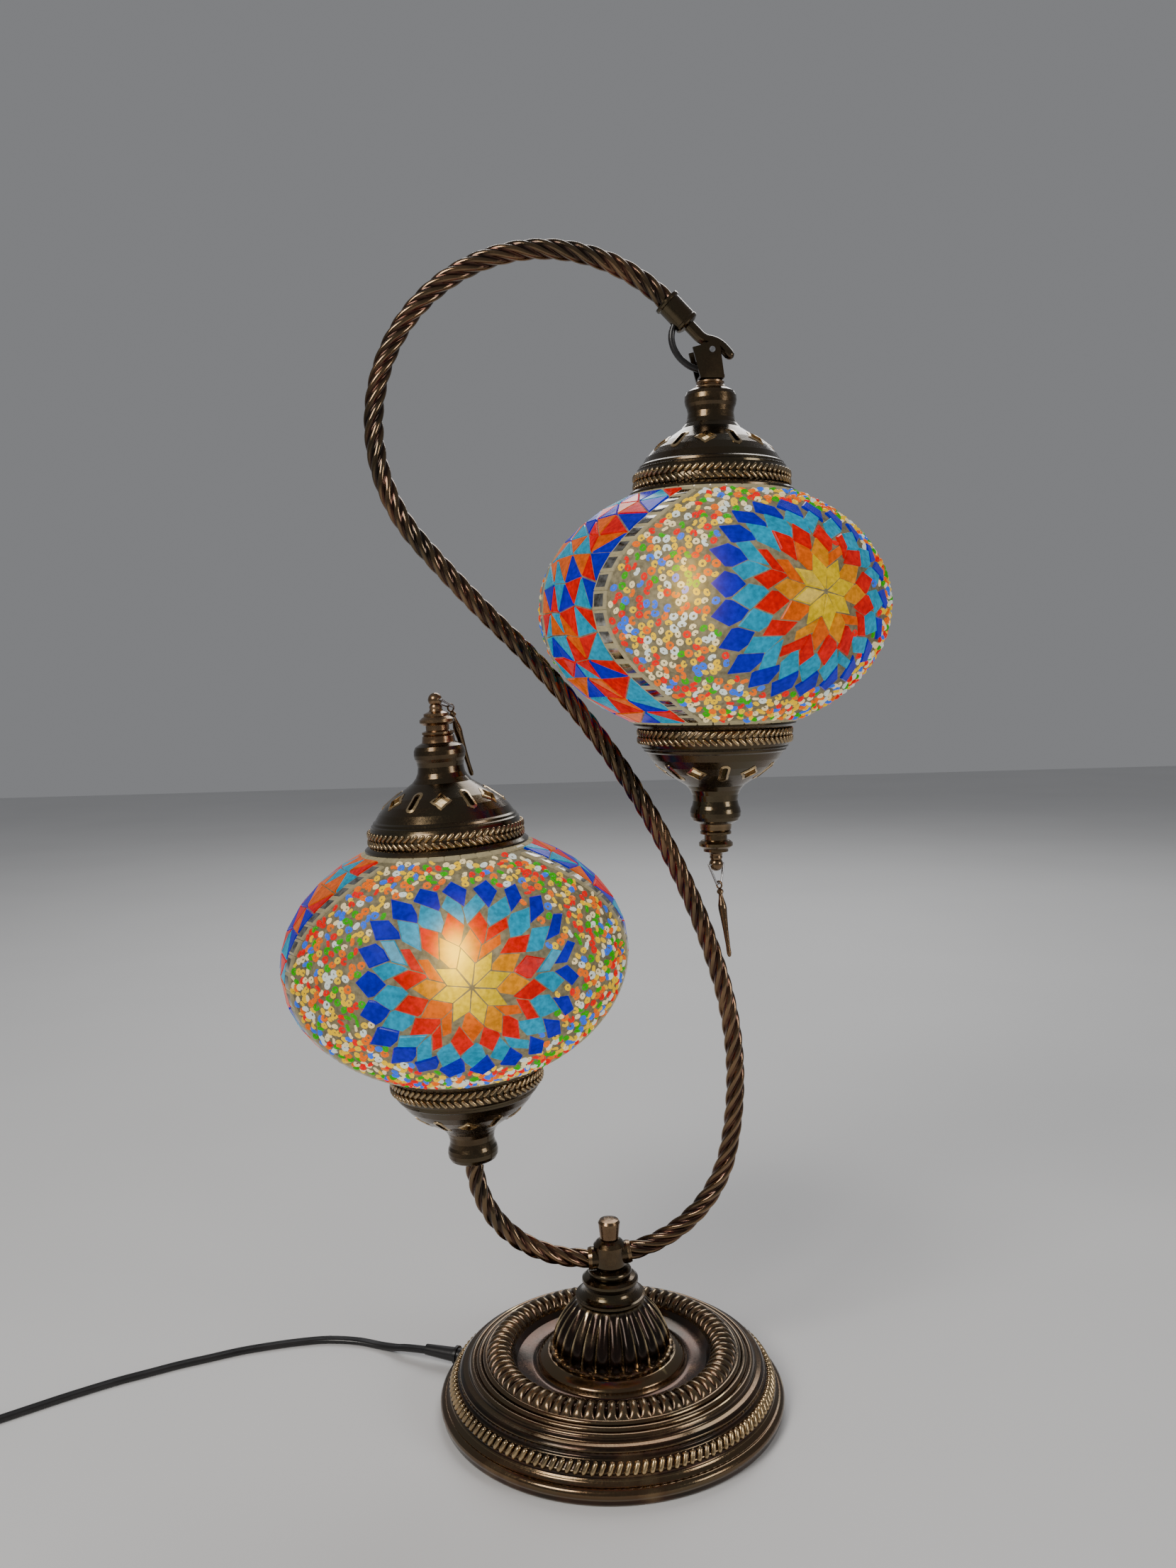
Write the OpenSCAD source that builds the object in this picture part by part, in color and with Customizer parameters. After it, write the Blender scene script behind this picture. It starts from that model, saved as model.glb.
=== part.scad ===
// Two-globe mosaic table lamp on a swan neck of rope-twist tube.
// One globe stands on the short arm, the other hangs from a hook on the long arm.
// Millimetres, +Z up. The origin is the centre of the felt under the base,
// the neck lies in the XZ plane and the hanging globe is on the +X side.

/* [Base] */
// Diameter of the foot ring
base_d = 198; // [192:1:204]
// Height of the flat seat that carries the fluted boss
boss_seat_z = 31; // [30:0.5:32]
// Number of flutes on the boss
flutes = 26; // [18:2:32]
// Diameter of the threaded tie rod
rod_d = 10; // [9:0.5:11]

/* [Neck] */
// Outside diameter of the twisted tube
tube_d = 10.5; // [9:0.5:11]
// Wall of the twisted tube
tube_wall = 1.2; // [1:0.1:1.6]
// Height at which the long arm leaves the column
long_arm_z = 87.2; // [86:0.2:89]
// Height at which the short arm leaves the column
short_arm_z = 84.5; // [84:0.1:85]
// Lean of the standing globe away from upright, in degrees
lean = 3; // [2:0.5:4]

/* [Globes] */
// Widest diameter of a mosaic globe
globe_d = 192; // [188:1:194]
// Height of the full oval that a globe is cut from
globe_oval_h = 140; // [138:1:144]
// Thickness of the glass with its mosaic
glass_t = 3.5; // [3:0.1:4]
// Height of a cap's lip above the centre of its globe
mouth_z = 61.7; // [61:0.1:62]
// Diameter of a cap's lip
cap_d = 90; // [89:0.5:91]

/* [Hanging globe] */
// Distance of the hanging globe's axis from the column
hang_x = 64.5; // [64:0.1:65]
// Height of the hanging globe's centre
hang_z = 452.2; // [451:0.2:453]
// Height of the pin that the hanging globe swings on
swing_pin_z = 590; // [589:0.5:591]
// Diameter of the swing pin
swing_pin_d = 3.2; // [3:0.1:3.4]

/* [Cord] */
// Width of the flat two-core cord
cord_w = 6; // [5:0.5:7]
// Thickness of the flat two-core cord
cord_t = 3.6; // [3:0.2:4]
// Direction in which the cord leaves the base, in degrees from +X
cord_exit_angle = 155; // [150:1:160]

/* [Hidden] */

bronze = [0.22, 0.16, 0.10];
brass = [0.62, 0.48, 0.26];
dark = [0.10, 0.09, 0.08];
steel = [0.62, 0.62, 0.64];
mosaic = [0.90, 0.55, 0.25];
bakelite = [0.12, 0.10, 0.09];
warm_glass = [1.00, 0.93, 0.75];
rubber = [0.05, 0.05, 0.05];

foot_r = base_d / 2;
gap = 0.1;
station_turn = 6;
station_gap = 16;

// ---- helpers ---------------------------------------------------------------

// Points of an arc about c, from angle a0 to a1
function arc(c, r, a0, a1, n = 10) =
    [for (i = [0:n]) c + r * [cos(a0 + (a1 - a0) * i / n), sin(a0 + (a1 - a0) * i / n)]];

// A solid of revolution from its outline
module turned(outline) {
    rotate_extrude($fn = 96) polygon(outline);
}

// Where a chain of bends ends: [x, z, heading], from start [x, z, heading]
function bend_end(start, bends, i = 0) =
    i == len(bends) ? start : bend_end(after_bend(start, bends[i]), bends, i + 1);
function after_bend(p, bend) =
    let (s = sign(bend[1]), r = bend[0], h = p[2], h2 = p[2] + bend[1])
    [p[0] + s * r * (sin(h2) - sin(h)), p[1] + s * r * (cos(h) - cos(h2)), h2];

// Stations [x, z, heading] along a chain of bends, close together where it bends hard
function stations(start, bends, i = 0) =
    i == len(bends) ? [start] :
    let (r = bends[i][0], turn = bends[i][1],
         n = ceil(max(abs(turn) / station_turn, r * abs(turn) * PI / 180 / station_gap)))
    concat([for (k = [0:n - 1]) after_bend(start, [r, turn * k / n])],
        stations(after_bend(start, bends[i]), bends, i + 1));
function straight_on(p, d) = [p[0] + d * cos(p[2]), p[1] + d * sin(p[2]), p[2]];

// Smooth points through the route's own points
function spline_point(p, i, t) =
    let (a = p[max(i - 1, 0)], b = p[i], c = p[i + 1], d = p[min(i + 2, len(p) - 1)])
    0.5 * (2 * b + (c - a) * t + (2 * a - 5 * b + 4 * c - d) * t * t
        + (3 * b - a - 3 * c + d) * t * t * t);
function smooth_route(p, n) =
    concat([for (i = [0:len(p) - 2], k = [0:n - 1]) spline_point(p, i, k / n)], [p[len(p) - 1]]);
function unit(v) = v / norm(v);
function along(p, i) = unit(p[min(i + 1, len(p) - 1)] - p[max(i - 1, 0)]);

// An oval cord swept along a route as one polyhedron
module swept_cord(route, w, t, sides = 8) {
    rings = len(route);
    points = [for (i = [0:rings - 1])
        let (fwd = along(route, i), across = unit(cross([0, 0, 1], fwd)), up = cross(fwd, across))
        for (k = [0:sides - 1])
            route[i] + across * (w / 2) * cos(k * 360 / sides) + up * (t / 2) * sin(k * 360 / sides)];
    walls = [for (i = [0:rings - 2], k = [0:sides - 1])
        let (a = i * sides + k, b = i * sides + (k + 1) % sides)
        for (face = [[a, a + sides, b], [b, a + sides, b + sides]]) face];
    first = [for (k = [0:sides - 1]) k];
    last = [for (k = [sides - 1:-1:0]) (rings - 1) * sides + k];
    polyhedron(points = points, faces = concat([first], walls, [last]), convexity = 10);
}

// Points of a ring of radius r about the station p
function ring(p, r, sides) = [for (k = [0:sides - 1])
    let (c = r * cos(k * 360 / sides), s = r * sin(k * 360 / sides))
    [p[0] - c * sin(p[2]), s, p[1] + c * cos(p[2])]];
function skin(first, rings, sides, outward) =
    [for (i = [0:rings - 2], k = [0:sides - 1])
        let (a = first + i * sides + k, b = first + i * sides + (k + 1) % sides)
        for (face = outward ? [[a, b, a + sides], [b, b + sides, a + sides]]
                            : [[a, a + sides, b], [b, a + sides, b + sides]]) face];
function rim(outer, inner, sides, forward) =
    [for (k = [0:sides - 1])
        let (j = (k + 1) % sides)
        for (face = forward ? [[outer + k, inner + k, outer + j], [outer + j, inner + k, inner + j]]
                            : [[outer + k, outer + j, inner + k], [outer + j, inner + j, inner + k]]) face];

// A hollow tube, or a rod when r_in is zero, through stations in the XZ plane.
// Its radius at station i is r_out less taper * i.
module bent_tube(path, r_out, r_in, sides = 24, taper = 0) {
    n = len(path);
    outer = [for (i = [0:n - 1]) each ring(path[i], r_out - taper * i, sides)];
    inner = [for (p = path) each ring(p, r_in, sides)];
    if (r_in > 0)
        polyhedron(points = concat(outer, inner), convexity = 10,
            faces = concat(skin(0, n, sides, true), skin(n * sides, n, sides, false),
                rim(0, n * sides, sides, true),
                rim((n - 1) * sides, (2 * n - 1) * sides, sides, false)));
    else
        polyhedron(points = outer, convexity = 10,
            faces = concat([[for (k = [sides - 1:-1:0]) k]], skin(0, n, sides, true),
                [[for (k = [0:sides - 1]) (n - 1) * sides + k]]));
}

// ---- base ------------------------------------------------------------------

rim_r = 3.1;
rim_c = [foot_r - rim_r, 5.7];
gadroon_c = [foot_r - 8.9, 16];
gadroon_r = 2.9;
ring_c = [foot_r - 34.7, 29.4];
ring_rx = 7.7;
flat_ring_r = 42;

base_outline = concat(
    [[foot_r - 8, 0], [foot_r - 1.6, 0], [foot_r - 1, 2.5], [foot_r - 3, 9.2], [foot_r - 6.2, 10.4]],
    arc([foot_r - 4.6, 13.6], 3.4, -118, -200, 5),
    [[foot_r - 10, 19.2]],
    arc([foot_r - 8.2, 22.4], 3.4, -135, -190, 5),
    [[foot_r - 13.2, 24.4], [foot_r - 16.2, 24.2], [foot_r - 17.2, 26.6], [foot_r - 19, 27.4],
     [foot_r - 21.4, 27.2], [foot_r - 22.2, 28.6], [foot_r - 24.4, 28.8], [foot_r - 25.2, 30.4],
     [foot_r - 27, 30.6]],
    arc(ring_c, ring_rx, 8, 172, 12),
    [[55, 25.5], [44.5, 24.5], [flat_ring_r, 28.6], [36.6, boss_seat_z], [5.4, boss_seat_z],
     [5.4, 27.5], [34, 27.5], [40, 23.5], [45, 21], [55, 21.8], [58.5, 29],
     [66, 32], [70, 26.5], [79, 22.5], [85, 17.5], [foot_r - 10, 12],
     [foot_r - 8, 9]]);

exit_z = 7.5;
bore_grommet = 9;

module at_exit() {
    rotate([0, 0, cord_exit_angle]) translate([0, 0, exit_z]) rotate([0, 90, 0]) children();
}

module base_cover() {
    color(bronze) difference() {
        rotate_extrude($fn = 96) {
            polygon(base_outline);
            translate(rim_c) circle(r = rim_r, $fn = 32);
            translate(gadroon_c) circle(r = gadroon_r, $fn = 32);
        }
        at_exit() cylinder(d = bore_grommet, h = foot_r + 10, $fn = 32);
    }
}

boss_top_z = 61;
boss_outline = concat(
    [[5.4, boss_seat_z], [35, boss_seat_z], [35, boss_seat_z + 1.2], [34, boss_seat_z + 2.2],
     [33.8, 36], [32.2, 42], [29.4, 49], [25, 55.5], [19, 60.4], [18.4, boss_top_z]],
    [[5.4, boss_top_z]]);

// Grooves run down the bell and leave a rib between each two
module fluted_boss() {
    color(bronze) difference() {
        turned(boss_outline);
        for (i = [0:flutes - 1]) rotate([0, 0, (i + 0.5) * 360 / flutes])
            translate([35.4, 0, boss_seat_z + 2]) rotate([0, -20.5, 0]) cylinder(r = 1.9, h = 25, $fn = 16);
    }
}

collar_outline = concat(
    [[5.4, boss_top_z], [18.6, boss_top_z], [20, 62], [20, 63.4]],
    arc([21, 70], 6.6, -100, -168, 6),
    [[16.2, 71.6], [16, 73], [14.4, 74.2], [11.4, 75]],
    arc([10.6, 77], 1.9, -60, 60, 6),
    [[9.6, 79.4], [5.4, 79.4]]);

// The collar, with a saddle where the short arm's sleeve and ring sit low on it
module boss_collar() {
    color(bronze) difference() {
        turned(collar_outline);
        at_short_root() cylinder(r = socket_r + 1.4, h = 24, $fn = 48);
    }
}

column_r = 9.2;
column_top = 95.5;
socket_r = tube_d / 2 + 0.1;
sleeve_end = 10.4;

// Frames at the root of each arm, +Z pointing out along the tube
module at_long_root() {
    translate([0, 0, long_arm_z - 9 * tan(long_rise)]) rotate([0, 90 - long_rise, 0]) children();
}
module at_short_root() {
    translate([0, 0, short_arm_z + 9 * tan(short_fall)]) rotate([0, -90 - short_fall, 0]) children();
}

module column() {
    color(bronze) difference() {
        union() {
            turned([[0, 79.4], [8.4, 79.4], [column_r, 81], [column_r, 92.4], [7.4, 94.4],
                    [5.6, column_top], [0, column_top]]);
            at_long_root() cylinder(r = socket_r + 1, h = sleeve_end, $fn = 48);
            at_short_root() cylinder(r = socket_r + 1, h = sleeve_end, $fn = 48);
        }
        translate([0, 0, 70]) cylinder(r = rod_d / 2 + 0.05, h = 21.5, $fn = 48);
        at_long_root() cylinder(r = socket_r, h = 20, $fn = 48);
        at_short_root() cylinder(r = socket_r, h = 20, $fn = 48);
    }
}

module top_knob() {
    color(brass) turned([[0, column_top], [4.6, column_top], [5.3, 96.4], [6.3, 105.4],
                         [5.4, 106.8], [3, 107.4], [0, 107.5]]);
}

module tie_rod() {
    color(steel) difference() {
        translate([0, 0, 4.2]) cylinder(d = rod_d, h = 78.8, $fn = 48);
        translate([0, 0, 4]) cylinder(d = 7, h = 82, $fn = 32);
    }
}

module rod_nut() {
    color(steel) translate([0, 0, 4.6]) difference() {
        cylinder(d = 19.6, h = 4.4, $fn = 6);
        translate([0, 0, -1]) cylinder(d = rod_d, h = 7, $fn = 48);
    }
}

weight_r = 68;
module base_weight() {
    color(dark) difference() {
        translate([0, 0, 9]) cylinder(r = weight_r, h = 12, $fn = 96);
        translate([0, 0, 8]) cylinder(d = rod_d + 0.6, h = 14, $fn = 48);
        rotate([0, 0, cord_exit_angle]) translate([3, -4.5, 8]) cube([weight_r, 9, 6]);
        at_plate_screws() translate([0, 0, 8]) cylinder(d = 4, h = 6, $fn = 24);
    }
}

module at_plate_screws() {
    for (i = [0:2]) rotate([0, 0, 40 + i * 120]) translate([56, 0, 0]) children();
}

module bottom_plate() {
    color(steel) difference() {
        translate([0, 0, 1.5]) cylinder(r = foot_r - 8.4, h = 1.5, $fn = 96);
        at_plate_screws() cylinder(d = 4.2, h = 6, $fn = 24);
    }
}

module plate_screws() {
    color(steel) at_plate_screws() translate([0, 0, 1.55]) cylinder(d = 4, h = 11, $fn = 24);
}

module felt_pad() {
    color([0.12, 0.25, 0.16]) cylinder(r = foot_r - 8.2, h = 1.5, $fn = 96);
}

module cord_grommet() {
    color(rubber) at_exit() difference() {
        union() {
            translate([0, 0, foot_r - 9.5]) cylinder(d = bore_grommet, h = 11, $fn = 32);
            translate([0, 0, foot_r + 0.4]) cylinder(d = 11, h = 1.6, $fn = 32);
        }
        translate([0, 0, foot_r - 12]) cylinder(d = 6.4, h = 12, $fn = 32);
    }
}

relief_start = foot_r + 2;
relief_len = 20;
module strain_relief() {
    color(rubber) at_exit() translate([0, 0, relief_start])
        cylinder(d1 = 8.6, d2 = 6.4, h = relief_len, $fn = 32);
}

// ---- neck ------------------------------------------------------------------

long_bends = [[73.5, 69], [210, 28], [450, 29], [800, -5], [92.85, -176]];
short_bends = [[72, 28], [60, 60]];
long_rise = 9;
short_fall = 1;
arm_root_x = 9;
long_root = [arm_root_x, long_arm_z, long_rise];
short_root = [arm_root_x, short_arm_z, -short_fall];
long_end = bend_end(long_root, long_bends);
short_end = bend_end(short_root, short_bends);

module neck_long_arm() {
    color(bronze) bent_tube(concat([straight_on(long_root, -3)], stations(long_root, long_bends),
        [straight_on(long_end, 1.8)]), tube_d / 2, tube_d / 2 - tube_wall);
}

// The cup sits on the top of this arm
module neck_short_arm() {
    color(bronze) mirror([1, 0, 0]) bent_tube(concat([straight_on(short_root, -3)],
        stations(short_root, short_bends), [straight_on(short_end, 4.6)]),
        tube_d / 2, tube_d / 2 - tube_wall);
}

module tube_rings() {
    color(brass) {
        at_long_root() translate([0, 0, sleeve_end]) tube_ring();
        at_short_root() translate([0, 0, sleeve_end]) tube_ring();
    }
}
module tube_ring() {
    difference() {
        cylinder(r1 = tube_d / 2 + 1.3, r2 = tube_d / 2 + 0.7, h = 2, $fn = 48);
        translate([0, 0, -1]) cylinder(r = socket_r + 0.15, h = 5, $fn = 48);
    }
}

// Frame at the end of the long arm, +Z pointing along the tube
module at_long_end() {
    translate([long_end[0], 0, long_end[1]]) rotate([0, 90 - long_end[2], 0]) children();
}

ferrule_len = 16;
flex_d = 3.6;
ferrule_r = 6.6;
module hook_ferrule() {
    color(bronze) at_long_end() difference() {
        rotate_extrude($fn = 64) polygon([[0, -2], [7.4, -2], [7.6, -1], [7.4, 0], [ferrule_r, 0.4],
            [ferrule_r, 12.6], [7, 13], [7, 14.2], [6.4, 15], [4.2, ferrule_len], [0, ferrule_len]]);
        translate([0, 0, -6]) cylinder(d = tube_d + 0.1, h = 8, $fn = 48);
        translate([0, 0, -4]) cylinder(r = 3.6, h = 16, $fn = 32);
        // Outlet for the flex, on the under side
        translate([0, 0, 8]) rotate([0, 70, 0]) cylinder(d = flex_d + 0.6, h = 12, $fn = 24);
    }
}

hook_r = 3.3;
hook_bends = [[10, 38], [14, -40]];
stem_len = 7;
eye_t = 5;
hook_root = straight_on(long_end, ferrule_len);
hook_tip = bend_end(straight_on(hook_root, stem_len), hook_bends);

module hook() {
    nose = straight_on(hook_tip, 4);
    color(bronze) {
        bent_tube(concat([hook_root], stations(straight_on(hook_root, stem_len), hook_bends), [nose]),
            hook_r, 0, 20, 0.03);
        translate([nose[0], 0, nose[1]]) sphere(r = 2.6, $fn = 24);
    }
}

// Eye brazed under the hook, with the bore for the swing pin
module hook_eye() {
    color(bronze) difference() {
        translate([hang_x, eye_t / 2, swing_pin_z]) rotate([90, 0, 0]) linear_extrude(eye_t) union() {
            circle(r = 4.2, $fn = 48);
            translate([-4.2, 0]) square([8.4, 5]);
        }
        translate([hang_x, 10, swing_pin_z]) rotate([90, 0, 0])
            cylinder(d = swing_pin_d + 0.12, h = 20, $fn = 32);
    }
}

// ---- parts shared by both globes -------------------------------------------

wall = 1.3;
// Outside of a cap from its lip (u = 0) to its neck, as [radius, height]
cap_outside = [[cap_d / 2, 0], [cap_d / 2, 1.2], [43.4, 2.6], [41.8, 3.6], [42.4, 5.6], [41.8, 7.8],
    [42.2, 9.8], [41.2, 12], [40.6, 13], [40.6, 14], [39.6, 14.6], [39.4, 15.8], [38.2, 16.6],
    [35.8, 20.4], [32.2, 24.4], [27.4, 28.3], [21.2, 32.2], [16.4, 35.4], [14.2, 38], [13, 40.6],
    [12.5, 44], [13, 46.6], [13.8, 48.4], [14.2, 50.6], [14, 53], [13, 55], [10.6, 56.4], [9.4, 57]];
cap_inside = [[10.6, 55.4], [12.6, 53], [12.8, 50.6], [12.2, 48.4], [11.6, 46.6],
    [11.1, 44], [11.6, 40.6], [12.6, 37.6], [14.8, 34.4], [19.6, 31], [25.8, 27], [30.6, 23.2],
    [34.2, 19.4], [36.6, 16], [38.4, 14], [39.4, 12], [40.4, 9.8], [40.2, 3.6], [40.6, 1.2], [40.6, 0]];

openings_r = 29;
openings_u = 26.5;

// bore_r is the radius of the hole through its end wall
module cap_shell(bore_r = 5.1) {
    difference() {
        turned(concat(cap_outside, [[bore_r, 57], [bore_r, 55.4]], cap_inside));
        // Pierced diamonds and slots, turn about, through the dome
        for (i = [0:5]) {
            rotate([0, 0, i * 60]) translate([openings_r, 0, openings_u]) rotate([0, 50, 0])
                rotate([0, 0, 45]) translate([-3.1, -3.1, -5]) cube([6.2, 6.2, 10]);
            rotate([0, 0, 30 + i * 60]) translate([openings_r, 0, openings_u]) rotate([0, 50, 0])
                translate([-5.2, -1.2, -5]) cube([10.4, 2.4, 10]);
        }
    }
}

globe_r = globe_d / 2;
globe_half = globe_oval_h / 2;
function oval(a, b, t0, t1, n) = [for (i = [0:n]) let (t = t0 + (t1 - t0) * i / n) [a * cos(t), b * sin(t)]];
module globe_shell() {
    t_out = asin(mouth_z / globe_half);
    t_in = asin(mouth_z / (globe_half - glass_t));
    turned(concat(oval(globe_r, globe_half, -t_out, t_out, 22),
                  oval(globe_r - glass_t, globe_half - glass_t, t_in, -t_in, 22)));
}

// Lampholder, mouth up, its foot at z = 0
module holder_body() {
    difference() {
        turned([[0, 0], [9, 0], [9.4, 1], [9.4, 10], [13, 12], [13, 22], [14, 22.6], [14, 24.6],
                [13, 25.2], [13, 38.6], [12.4, 39.6], [0, 39.6]]);
        translate([0, 0, -1]) cylinder(d = rod_d, h = 11, $fn = 32);
        translate([0, 0, 16]) cylinder(d = 14, h = 30, $fn = 48);
    }
}

// Screw base of a bulb, contact at z = 0
module bulb_base() {
    turned([[0, 0], [2.6, 0.4], [3.4, 1.6], [6.9, 3.4], [6.9, 24], [0, 24]]);
}

// Glass of a bulb, on top of its base
bulb_len = 68;
module bulb_glass() {
    translate([0, 0, 24]) turned(concat([[0, 0], [7.4, 0], [9.4, 3], [13.6, 12]],
        [for (i = [0:8]) let (t = -20 + i * 13.75) [18.5 * cos(t), 30 + (bulb_len - 30) * sin(max(t, -20)) ]]));
}

// Turned finial, its seat at z = 0, with a stud below and a cross hole in its ball
ball_z = 23.2;
ball_r = 3.9;
stud_len = 61.5;
module finial_body() {
    difference() {
        union() {
            turned([[0, 0], [9.2, 0], [8.9, 1.6], [8.7, 3.4], [8, 4], [8.7, 4.6], [8.7, 5.8], [6.4, 6.6],
                [6.4, 9.2], [8, 9.6], [9.5, 11], [9.5, 12.6], [8, 13.8], [7, 14.4], [7, 15.8], [4, 17],
                [3.4, 18.2], [3.6, 19.4], [3.2, 20.4], [0, 20.4]]);
            translate([0, 0, ball_z]) sphere(r = ball_r, $fn = 48);
            translate([0, 0, -stud_len]) cylinder(d = 4, h = stud_len + 1, $fn = 24);
        }
        translate([-10, 0, ball_z]) rotate([0, 90, 0]) cylinder(d = loop_wire + 0.14, h = 20, $fn = 24);
    }
}

// Strip that spans the mouth inside the glass and takes the finial's stud
module cross_bar_body() {
    difference() {
        translate([-39, -4, -1.6]) cube([78, 8, 1.6]);
        translate([0, 0, -3]) cylinder(d = 4.1, h = 5, $fn = 24);
    }
}

loop_wire = 1.3;
loop_len = 11;
loop_w = 5.6;
loop_end_w = 1.8;
// Wire loop: a bar through the ball's cross hole along X, two sides and a short bar below
module loop_body() {
    side_lean = atan((loop_w - loop_end_w) / loop_len);
    side_len = norm([loop_w - loop_end_w, loop_len]);
    rotate([0, 90, 0]) translate([0, 0, -loop_w]) cylinder(d = loop_wire, h = 2 * loop_w, $fn = 16);
    translate([0, 0, -loop_len]) rotate([0, 90, 0]) translate([0, 0, -loop_end_w])
        cylinder(d = loop_wire, h = 2 * loop_end_w, $fn = 16);
    for (side = [-1, 1]) {
        translate([side * loop_w, 0, 0]) sphere(d = loop_wire + 0.08, $fn = 16);
        translate([side * loop_end_w, 0, -loop_len]) sphere(d = loop_wire + 0.08, $fn = 16);
        translate([side * loop_w, 0, 0]) rotate([0, 180 + side * side_lean, 0])
            cylinder(d = loop_wire, h = side_len, $fn = 16);
    }
}

ring_r = 2;
ring_drop = 0.7;
// Slender metal drop hanging below its ring, the ring's centre at z = 0
module drop_body() {
    rotate([0, 90, 0]) rotate_extrude($fn = 32) translate([ring_r, 0]) circle(d = 1, $fn = 16);
    rotate([180, 0, 0]) turned([[0, 2.2], [1.2, 2.4], [1.9, 3.4], [1.9, 4.4], [1.1, 5.4], [1.3, 7],
        [2.3, 11.5], [2.4, 13.5], [2, 18], [1.5, 26], [1.2, 34], [1.3, 38.5], [0.9, 40.2], [0, 40.8]]);
}

// ---- hanging globe ---------------------------------------------------------

// Frames: the pendant's own, with the globe's centre at the origin
module at_pendant() {
    translate([hang_x, 0, hang_z]) children();
}
// A cap stands on the upper mouth; the same spinning upside down is the cup
module on_top() {
    translate([0, 0, mouth_z]) children();
}
module underneath() {
    mirror([0, 0, 1]) translate([0, 0, mouth_z]) children();
}

cap_h = 57;
collar_top = 61.3;
holder_u = 33;
nut_u = 51;
// Hex nut inside a cap, against the end wall
module lock_nut() {
    translate([0, 0, nut_u]) difference() {
        cylinder(d = 18, h = 55.4 - nut_u, $fn = 6);
        translate([0, 0, -1]) cylinder(d = rod_d, h = 7, $fn = 48);
    }
}
plate_t = 1.6;
plate_z = hang_z + mouth_z + collar_top + gap;
cheek_in = 6.2;
cheek_t = 1.6;
cheek_h = swing_pin_z - plate_z;

module stirrup() {
    color(bronze) difference() {
        union() {
            translate([hang_x - 6.5, -cheek_in - cheek_t, plate_z])
                cube([13, 2 * (cheek_in + cheek_t), plate_t]);
            for (side = [0, 1]) mirror([0, side, 0])
                translate([hang_x, cheek_in + cheek_t, plate_z]) rotate([90, 0, 0])
                    linear_extrude(cheek_t) union() {
                        polygon([[-6.5, 0], [6.5, 0], [4.6, cheek_h], [0, cheek_h + 4], [-10.6, cheek_h + 1.2]]);
                        translate([0, cheek_h]) circle(r = 4.6, $fn = 48);
                    }
        }
        translate([hang_x, 0, plate_z - 2]) cylinder(d = 8.2, h = 6, $fn = 48);
        translate([hang_x, 10, swing_pin_z]) rotate([90, 0, 0]) cylinder(d = swing_pin_d, h = 20, $fn = 32);
    }
}

module swing_pin() {
    color(steel) translate([hang_x, cheek_in + cheek_t + 0.6, swing_pin_z]) rotate([90, 0, 0])
        cylinder(d = swing_pin_d, h = 2 * (cheek_in + cheek_t + 0.6), $fn = 32);
}

// Stations of the flex from the ferrule, past the eye, down to the nipple
flex_path = [[45.2, 604.8, -116], [43.8, 600.4, -100], [44, 595, -80], [46.4, 589.6, -58],
    [50.6, 585, -40], [55.6, 582, -22], [60.4, 580.8, -18], [63.4, 580, -50], [64.5, 579, -90]];
module pendant_flex() {
    color(rubber) bent_tube(flex_path, flex_d / 2, 0, 10);
}

// Hollow nipple: a head above the stirrup's plate, a shank through the cap
module upper_nipple() {
    head_u = collar_top + plate_t + 2 * gap;
    color(brass) at_pendant() on_top() difference() {
        union() {
            translate([0, 0, head_u]) cylinder(r1 = 5.4, r2 = 4.6, h = 1.8, $fn = 48);
            translate([0, 0, 60]) cylinder(d = 8, h = head_u - 59.5, $fn = 48);
            translate([0, 0, holder_u]) cylinder(d = rod_d, h = collar_top - holder_u, $fn = 48);
        }
        translate([0, 0, 28]) cylinder(r = 2.2, h = 40, $fn = 32);
    }
}

module upper_lock_nut() {
    color(steel) at_pendant() on_top() lock_nut();
}

module upper_collar() {
    color(brass) at_pendant() on_top() turned([[5.05, cap_h], [9.2, cap_h], [9, cap_h + 0.6], [8, cap_h + 1.2],
        [7.6, cap_h + 1.8], [7.2, cap_h + 2.2], [7.6, cap_h + 2.8], [7.6, cap_h + 3.6], [6.8, collar_top],
        [5.05, collar_top]]);
}

module upper_cap() {
    color(bronze) at_pendant() on_top() rotate([0, 0, 15]) cap_shell();
}

module upper_globe() {
    color(mosaic) at_pendant() globe_shell();
}

module upper_cup() {
    color(bronze) at_pendant() underneath() cap_shell();
}

module upper_holder() {
    color(bakelite) at_pendant() on_top() translate([0, 0, holder_u + 10]) mirror([0, 0, 1]) holder_body();
}

bulb_in_holder = 16;
module upper_bulb_base() {
    color(steel) at_pendant() on_top() translate([0, 0, holder_u + 10 - bulb_in_holder]) mirror([0, 0, 1]) bulb_base();
}

module upper_bulb() {
    color(warm_glass) at_pendant() on_top() translate([0, 0, holder_u + 10 - bulb_in_holder]) mirror([0, 0, 1])
        bulb_glass();
}

module upper_cross_bar() {
    color(steel) at_pendant() underneath() translate([0, 0, -1.5]) cross_bar_body();
}

// Directions in which the two drops lean, in degrees from +X
upper_drop_angle = -56;
upper_drop_lean = 11;
lower_drop_angle = 40;
lower_loop_lean = 66;
lower_drop_lean = 16;

module upper_finial() {
    color(brass) at_pendant() underneath() translate([0, 0, cap_h])
        rotate([0, 0, upper_drop_angle - 90]) finial_body();
}

module at_upper_ball() {
    at_pendant() translate([0, 0, -mouth_z - cap_h - ball_z])
        rotate([0, 0, upper_drop_angle - 90]) rotate([upper_drop_lean, 0, 0]) children();
}
module upper_loop() {
    color(steel) at_upper_ball() loop_body();
}
module upper_drop() {
    color(brass) at_upper_ball() translate([0, 0, -loop_len - ring_drop]) drop_body();
}

// ---- standing globe --------------------------------------------------------

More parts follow.
